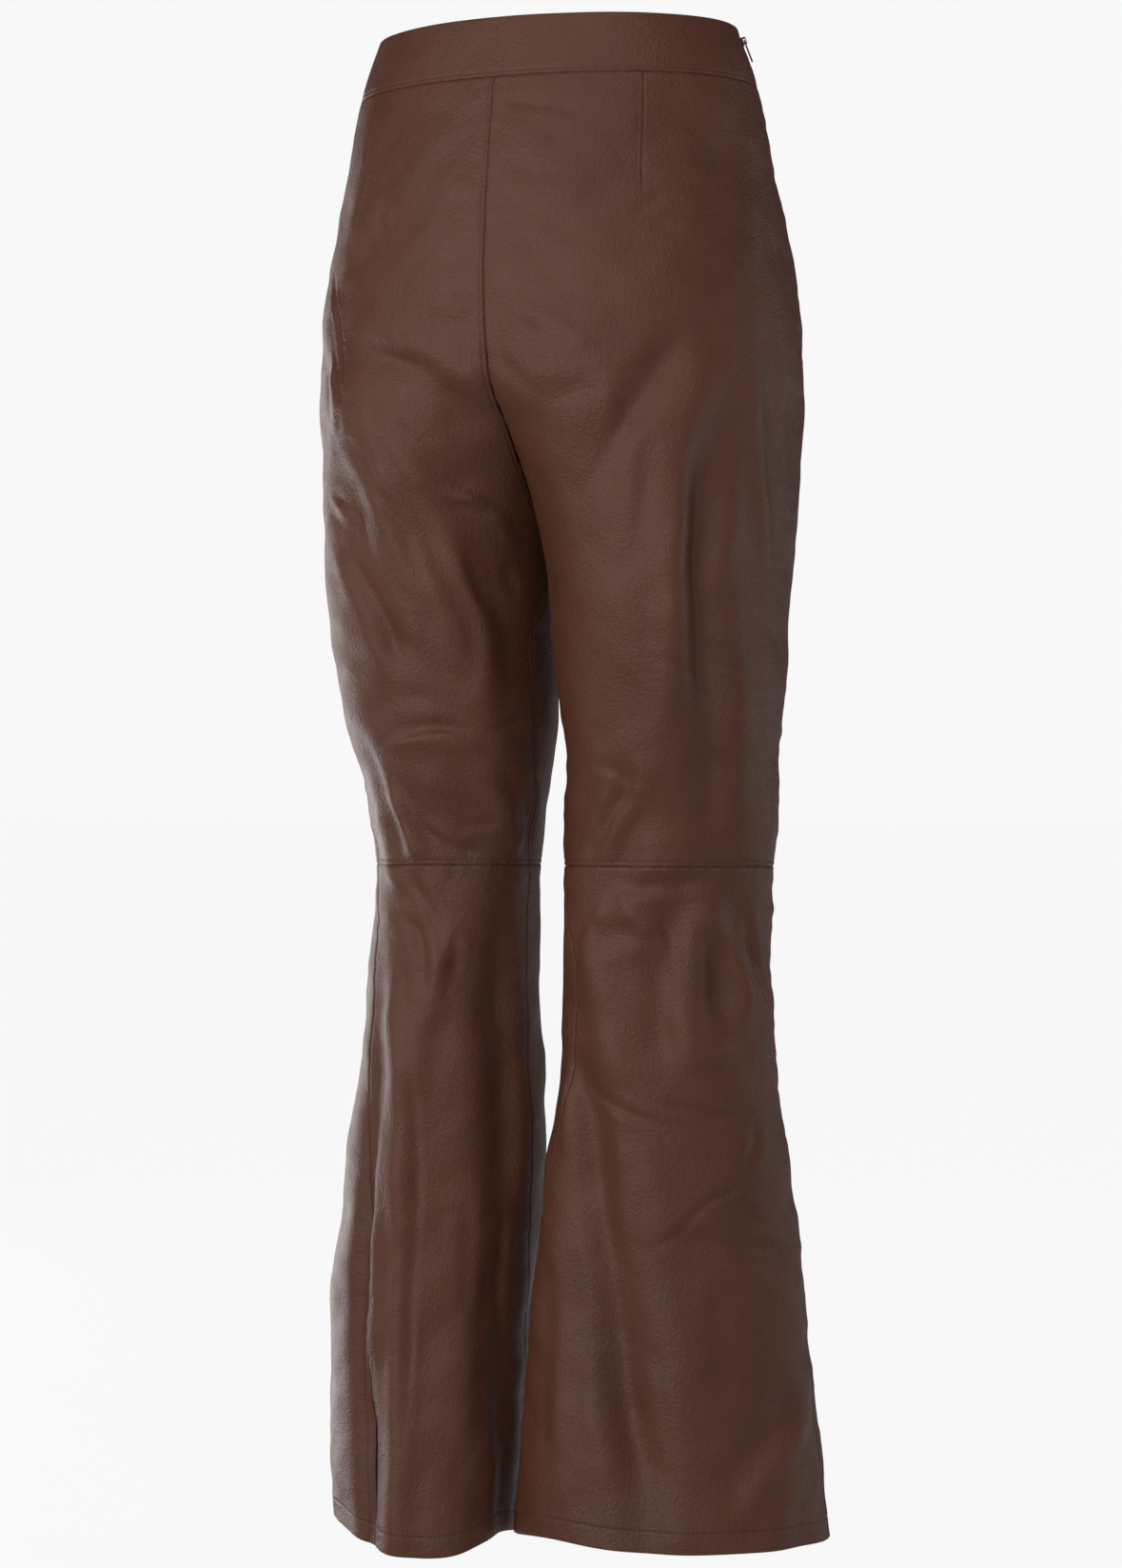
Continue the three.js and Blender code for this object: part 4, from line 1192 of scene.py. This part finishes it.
def level_stitches(zone, side, face, z, margin=STITCH_MARGIN):
    """Stitches round a panel at one level, from its side edge to its middle edge."""
    level = np.array([float(z)])
    start = edge_angle(side, face, level, "side", margin)[0]
    if zone == "band":
        end = math.pi / 2 if face == "front" else 3 * math.pi / 2
    else:
        end = edge_angle(side, face, level, "middle", margin)[0]
    angle = np.linspace(start, end, ROUND_SAMPLES)
    return stitch_line(zone, side, face, np.full(ROUND_SAMPLES, float(z)), angle)


def dart_stitches(dart):
    side, face, _, top_z, _, tip_z = dart
    from_top, from_tip = DART_STITCH_MARGINS
    z = np.linspace(top_z - from_top, tip_z + from_tip, DART_SAMPLES)
    angle = np.radians(dart_angle(dart, z)) + DART_STITCH / mean_radius(side, z)
    angle = angle + (FULL_TURN if face == "back" else 0)
    return stitch_line("upper", side, face, z, angle)


def sewing():
    """All the visible stitching, one object for each kind of seam."""
    faces = ("front", "back")
    both = [(side, face) for side in SIDE_SIGN for face in faces]
    seat = (MIDDLE_STITCH_TOP, min(CROTCH_Z.values()) + MIDDLE_STITCH_CLEAR)
    knee = ZONES["upper"][1]
    kinds = {
        "waist": [level_stitches("band", s, f, BAND_BOTTOM + EDGE_STITCH_OFFSET) for s, f in both],
        "knee": [level_stitches("upper", s, f, knee + STITCH_OFFSET) for s, f in both],
        "hem": [level_stitches("lower", s, f, HEM_Z[s] + HEM_STITCH, SLIT_STITCH) for s, f in both],
        "dart": [dart_stitches(dart) for dart in DARTS],
        "middle": [upright_stitches("upper", "right", f, "middle", EDGE_STITCH_OFFSET, *seat) for f in faces],
        "slit": [upright_stitches("lower", s, f, "side", SLIT_STITCH, SLIT_TOP, HEM_Z[s] + STITCH_MARGIN)
                 for s, f in both],
    }
    for kind, lines in kinds.items():
        settle(stitch_mesh(f"{kind}_stitching", lines))


def settle_leather(piece, cut, node):
    settle(piece, node)


def build_leather():
    for face in ("front", "back"):
        settle_leather(*band_object(face), f"waistband_{face}")
        for side in SIDE_SIGN:
            for zone in ("upper", "lower"):
                settle_leather(*panel_object(zone, side, face), f"{face}_{side}_{zone}")


SLIDER_BEVEL = 0.12
TAB_BEVEL = 0.2
BEVEL_STEPS = 3
METAL_SHARP = 35
WELD_GAP = 0.01


def cad_copy(name, node, bevel):
    """A copy of a hard solid of the zip with softened edges."""
    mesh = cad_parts[node].data.copy()
    mesh.materials.clear()
    mesh.materials.append(ZIP_METAL)
    piece = linked(name, mesh)
    weld = piece.modifiers.new("weld", "WELD")
    weld.merge_threshold = WELD_GAP * MM
    soft = piece.modifiers.new("bevel", "BEVEL")
    soft.width = bevel * MM
    soft.segments = BEVEL_STEPS
    soft.limit_method = "ANGLE"
    graph = bpy.context.evaluated_depsgraph_get()
    finished = bpy.data.meshes.new_from_object(piece.evaluated_get(graph))
    piece.modifiers.clear()
    piece.data = finished
    finished.polygons.foreach_set("use_smooth", np.ones(len(finished.polygons), bool))
    finished.set_sharp_from_angle(angle=math.radians(METAL_SHARP))
    return piece


TAPE_THICKNESS = 0.5
TAPE_ROWS = 70
TAPE_COLUMNS = 8
TAPE_GAP = 0.3
BAND_STEP = (-23, 5)
TOOTH_PITCH = 1.5
TOOTH = (2.2, 0.9, 0.9)
TOOTH_SHIFT = 0.7
TOOTH_SEAT = 0.2
TEETH_INSET = (2, 8)


def tape_point(z, sideways, depth):
    """A point behind the wearer's left side seam, so far round and so far in."""
    seam = np.radians(RINGS["left"]["outseam"](z))
    angle = seam + sideways / speed("left", z, seam)
    radius = mean_radius("left", z)
    fold = sum(fold_lift(row, "left", z, angle, radius) for row in FOLDS if row[0] == "left")
    out = outward("left", z, angle)
    return base_point("left", z, angle) + out * (fold - depth)[..., None], out


def zip_object():
    """The two closed tapes and their interlocked teeth, behind the side seam."""
    z = np.linspace(TAPE_TOP, TAPE_BOTTOM, TAPE_ROWS)
    step, step_length = BAND_STEP
    cloth = mix(BAND_CLOTH, CLOTH, smooth((step - z) / step_length)) + TAPE_CLEARANCE
    points = []
    faces = []
    for low, high in ((-TAPE_WIDTH / 2, -TAPE_GAP / 2), (TAPE_GAP / 2, TAPE_WIDTH / 2)):
        across = np.linspace(low, high, TAPE_COLUMNS)
        outer, out = tape_point(*np.broadcast_arrays(z[:, None], across, cloth[:, None]))
        first = sum(len(p) for p in points)
        inner = outer - out * TAPE_THICKNESS
        points += [outer.reshape(-1, 3), inner.reshape(-1, 3)]
        parts = np.concatenate(grid_faces(TAPE_ROWS, TAPE_COLUMNS))
        if signed_volume(np.concatenate(points[-2:]), parts) < 0:
            parts = parts[:, ::-1]
        faces += (parts + first).tolist()
    corners = np.array([(x, y, w) for x in (-0.5, 0.5) for y in (-0.5, 0.5) for w in (-0.5, 0.5)])
    box = np.array([(0, 1, 3, 2), (4, 6, 7, 5), (0, 4, 5, 1), (2, 3, 7, 6), (0, 2, 6, 4), (1, 5, 7, 3)])
    inset_top, inset_bottom = TEETH_INSET
    levels = np.arange(TAPE_TOP - inset_top, TAPE_BOTTOM + inset_bottom, -TOOTH_PITCH)
    for i, level in enumerate(levels):
        shift = TOOTH_SHIFT if i % 2 else -TOOTH_SHIFT
        here = np.array([level])
        back = np.interp(level, z[::-1], cloth[::-1]) + TAPE_THICKNESS + TOOTH_SEAT
        centre, out = tape_point(here, np.array([shift]), np.array([back]))
        along = np.cross(out[0], (0, 0, 1))
        frame_axes = np.stack([along, out[0], np.array([0, 0, 1.0])])
        block = centre[0] + (corners * TOOTH) @ frame_axes
        first = sum(len(p) for p in points)
        points.append(block)
        faces += (box + first).tolist()
    return make_mesh("zip_tape_and_teeth", np.concatenate(points), faces, [TAPE])


def build_zip():
    settle(zip_object(), "zip_tape")
    settle(cad_copy("enamelled_slider", "zip_slider", SLIDER_BEVEL), "zip_slider")
    tab = cad_copy("enamelled_pull_tab", "zip_pull_tab", TAB_BEVEL)
    settle(tab, "zip_pull_tab", body="pull_tab")


# Soft boxes: name, azimuth and elevation seen from the waist to knee, distance, width,
# height and power
SOFT_BOXES = [
    ("key", -40, 20, 3.0, 1.4, 2.0, 19),
    ("front", -12, 8, 3.0, 1.2, 1.8, 21),
    ("camera_side", 15, 20, 3.0, 1.4, 2.0, 8),
    ("side", 50, 12, 3.0, 1.2, 2.0, 4),
    ("right", 105, 5, 3.0, 0.8, 2.4, 8),
    ("left_rim", -125, 0, 3.0, 0.8, 2.0, 14),
    ("left_low", -102, -8, 3.0, 1.0, 1.0, 14),
    ("right_rim", 135, 5, 3.0, 0.8, 2.4, 7),
    ("overhead", 20, 55, 3.0, 1.6, 1.2, 15),
]
GARMENT_MIDDLE = (0, 0, -0.5)
FILL_LIGHT = 0.05
FLOOR_BOUNCE = 0.35
BACKGROUND = 0.94


def build_lights():
    for name, azimuth, elevation, distance, width, height, power in SOFT_BOXES:
        lamp = bpy.data.lights.new(name, "AREA")
        lamp.shape = "RECTANGLE"
        lamp.size = width
        lamp.size_y = height
        lamp.energy = power
        light = linked(name, lamp)
        a, e = math.radians(azimuth), math.radians(elevation)
        away = np.array([math.sin(a) * math.cos(e), -math.cos(a) * math.cos(e), math.sin(e)])
        light.location = np.array(GARMENT_MIDDLE) + away * distance
        light.rotation_euler = (math.pi / 2 - e, 0, a)
    world = bpy.data.worlds.new("studio")
    world.use_nodes = True
    bpy.context.scene.world = world
    nodes = world.node_tree.nodes
    links = world.node_tree.links
    seen = nodes["Background"]
    seen.inputs["Color"].default_value = (BACKGROUND, BACKGROUND, BACKGROUND, 1)
    lighting = nodes.new("ShaderNodeBackground")
    lighting.inputs["Color"].default_value = (1, 1, 1, 1)
    direction = nodes.new("ShaderNodeSeparateXYZ")
    links.new(nodes.new("ShaderNodeTexCoord").outputs["Generated"], direction.inputs["Vector"])
    upward = scaled(nodes, links, direction.outputs["Z"], -0.08, 0.08, FLOOR_BOUNCE, FILL_LIGHT)
    links.new(upward, lighting.inputs["Strength"])
    choice = nodes.new("ShaderNodeMixShader")
    links.new(nodes.new("ShaderNodeLightPath").outputs["Is Camera Ray"], choice.inputs["Fac"])
    links.new(lighting.outputs["Background"], choice.inputs[1])
    links.new(seen.outputs["Background"], choice.inputs[2])
    links.new(choice.outputs["Shader"], nodes["World Output"].inputs["Surface"])


def build_camera():
    lens = bpy.data.cameras.new("photo_camera")
    lens.lens = CAMERA_LENS
    camera = linked("photo_camera", lens)
    a = math.radians(CAMERA_AZIMUTH)
    camera.location = (
        CAMERA_DISTANCE * math.sin(a) + CAMERA_SHIFT * math.cos(a),
        -CAMERA_DISTANCE * math.cos(a) + CAMERA_SHIFT * math.sin(a),
        CAMERA_Z,
    )
    camera.rotation_euler = (math.pi / 2, 0, a)
    bpy.context.scene.camera = camera


def build_floor():
    material, nodes, links, shader, place = new_material("pale_floor")
    speckle = noise(nodes, links, place, 3, 2)
    colour = blended(nodes, links, speckle, (0.022, 0.022, 0.022), (0.028, 0.028, 0.028))
    links.new(colour, shader.inputs["Base Color"])
    shader.inputs["Roughness"].default_value = 0.9
    shader.inputs["Emission Color"].default_value = (1, 1, 1, 1)
    shader.inputs["Emission Strength"].default_value = 0.925
    shader.inputs["Specular IOR Level"].default_value = 0.1
    ways = ((-1, -1), (1, -1), (1, 1), (-1, 1))
    mesh = bpy.data.meshes.new("floor")
    mesh.from_pydata([(x * FLOOR_REACH, y * FLOOR_REACH, FLOOR_Z) for x, y in ways], [], [(0, 1, 2, 3)])
    mesh.materials.append(material)
    floor = linked("floor", mesh)
    floor.visible_diffuse = False
    floor.visible_glossy = False
    floor.visible_shadow = False


bpy.context.scene.view_settings.view_transform = "Standard"
build_camera()
build_lights()
build_floor()
build_leather()
sewing()
build_zip()
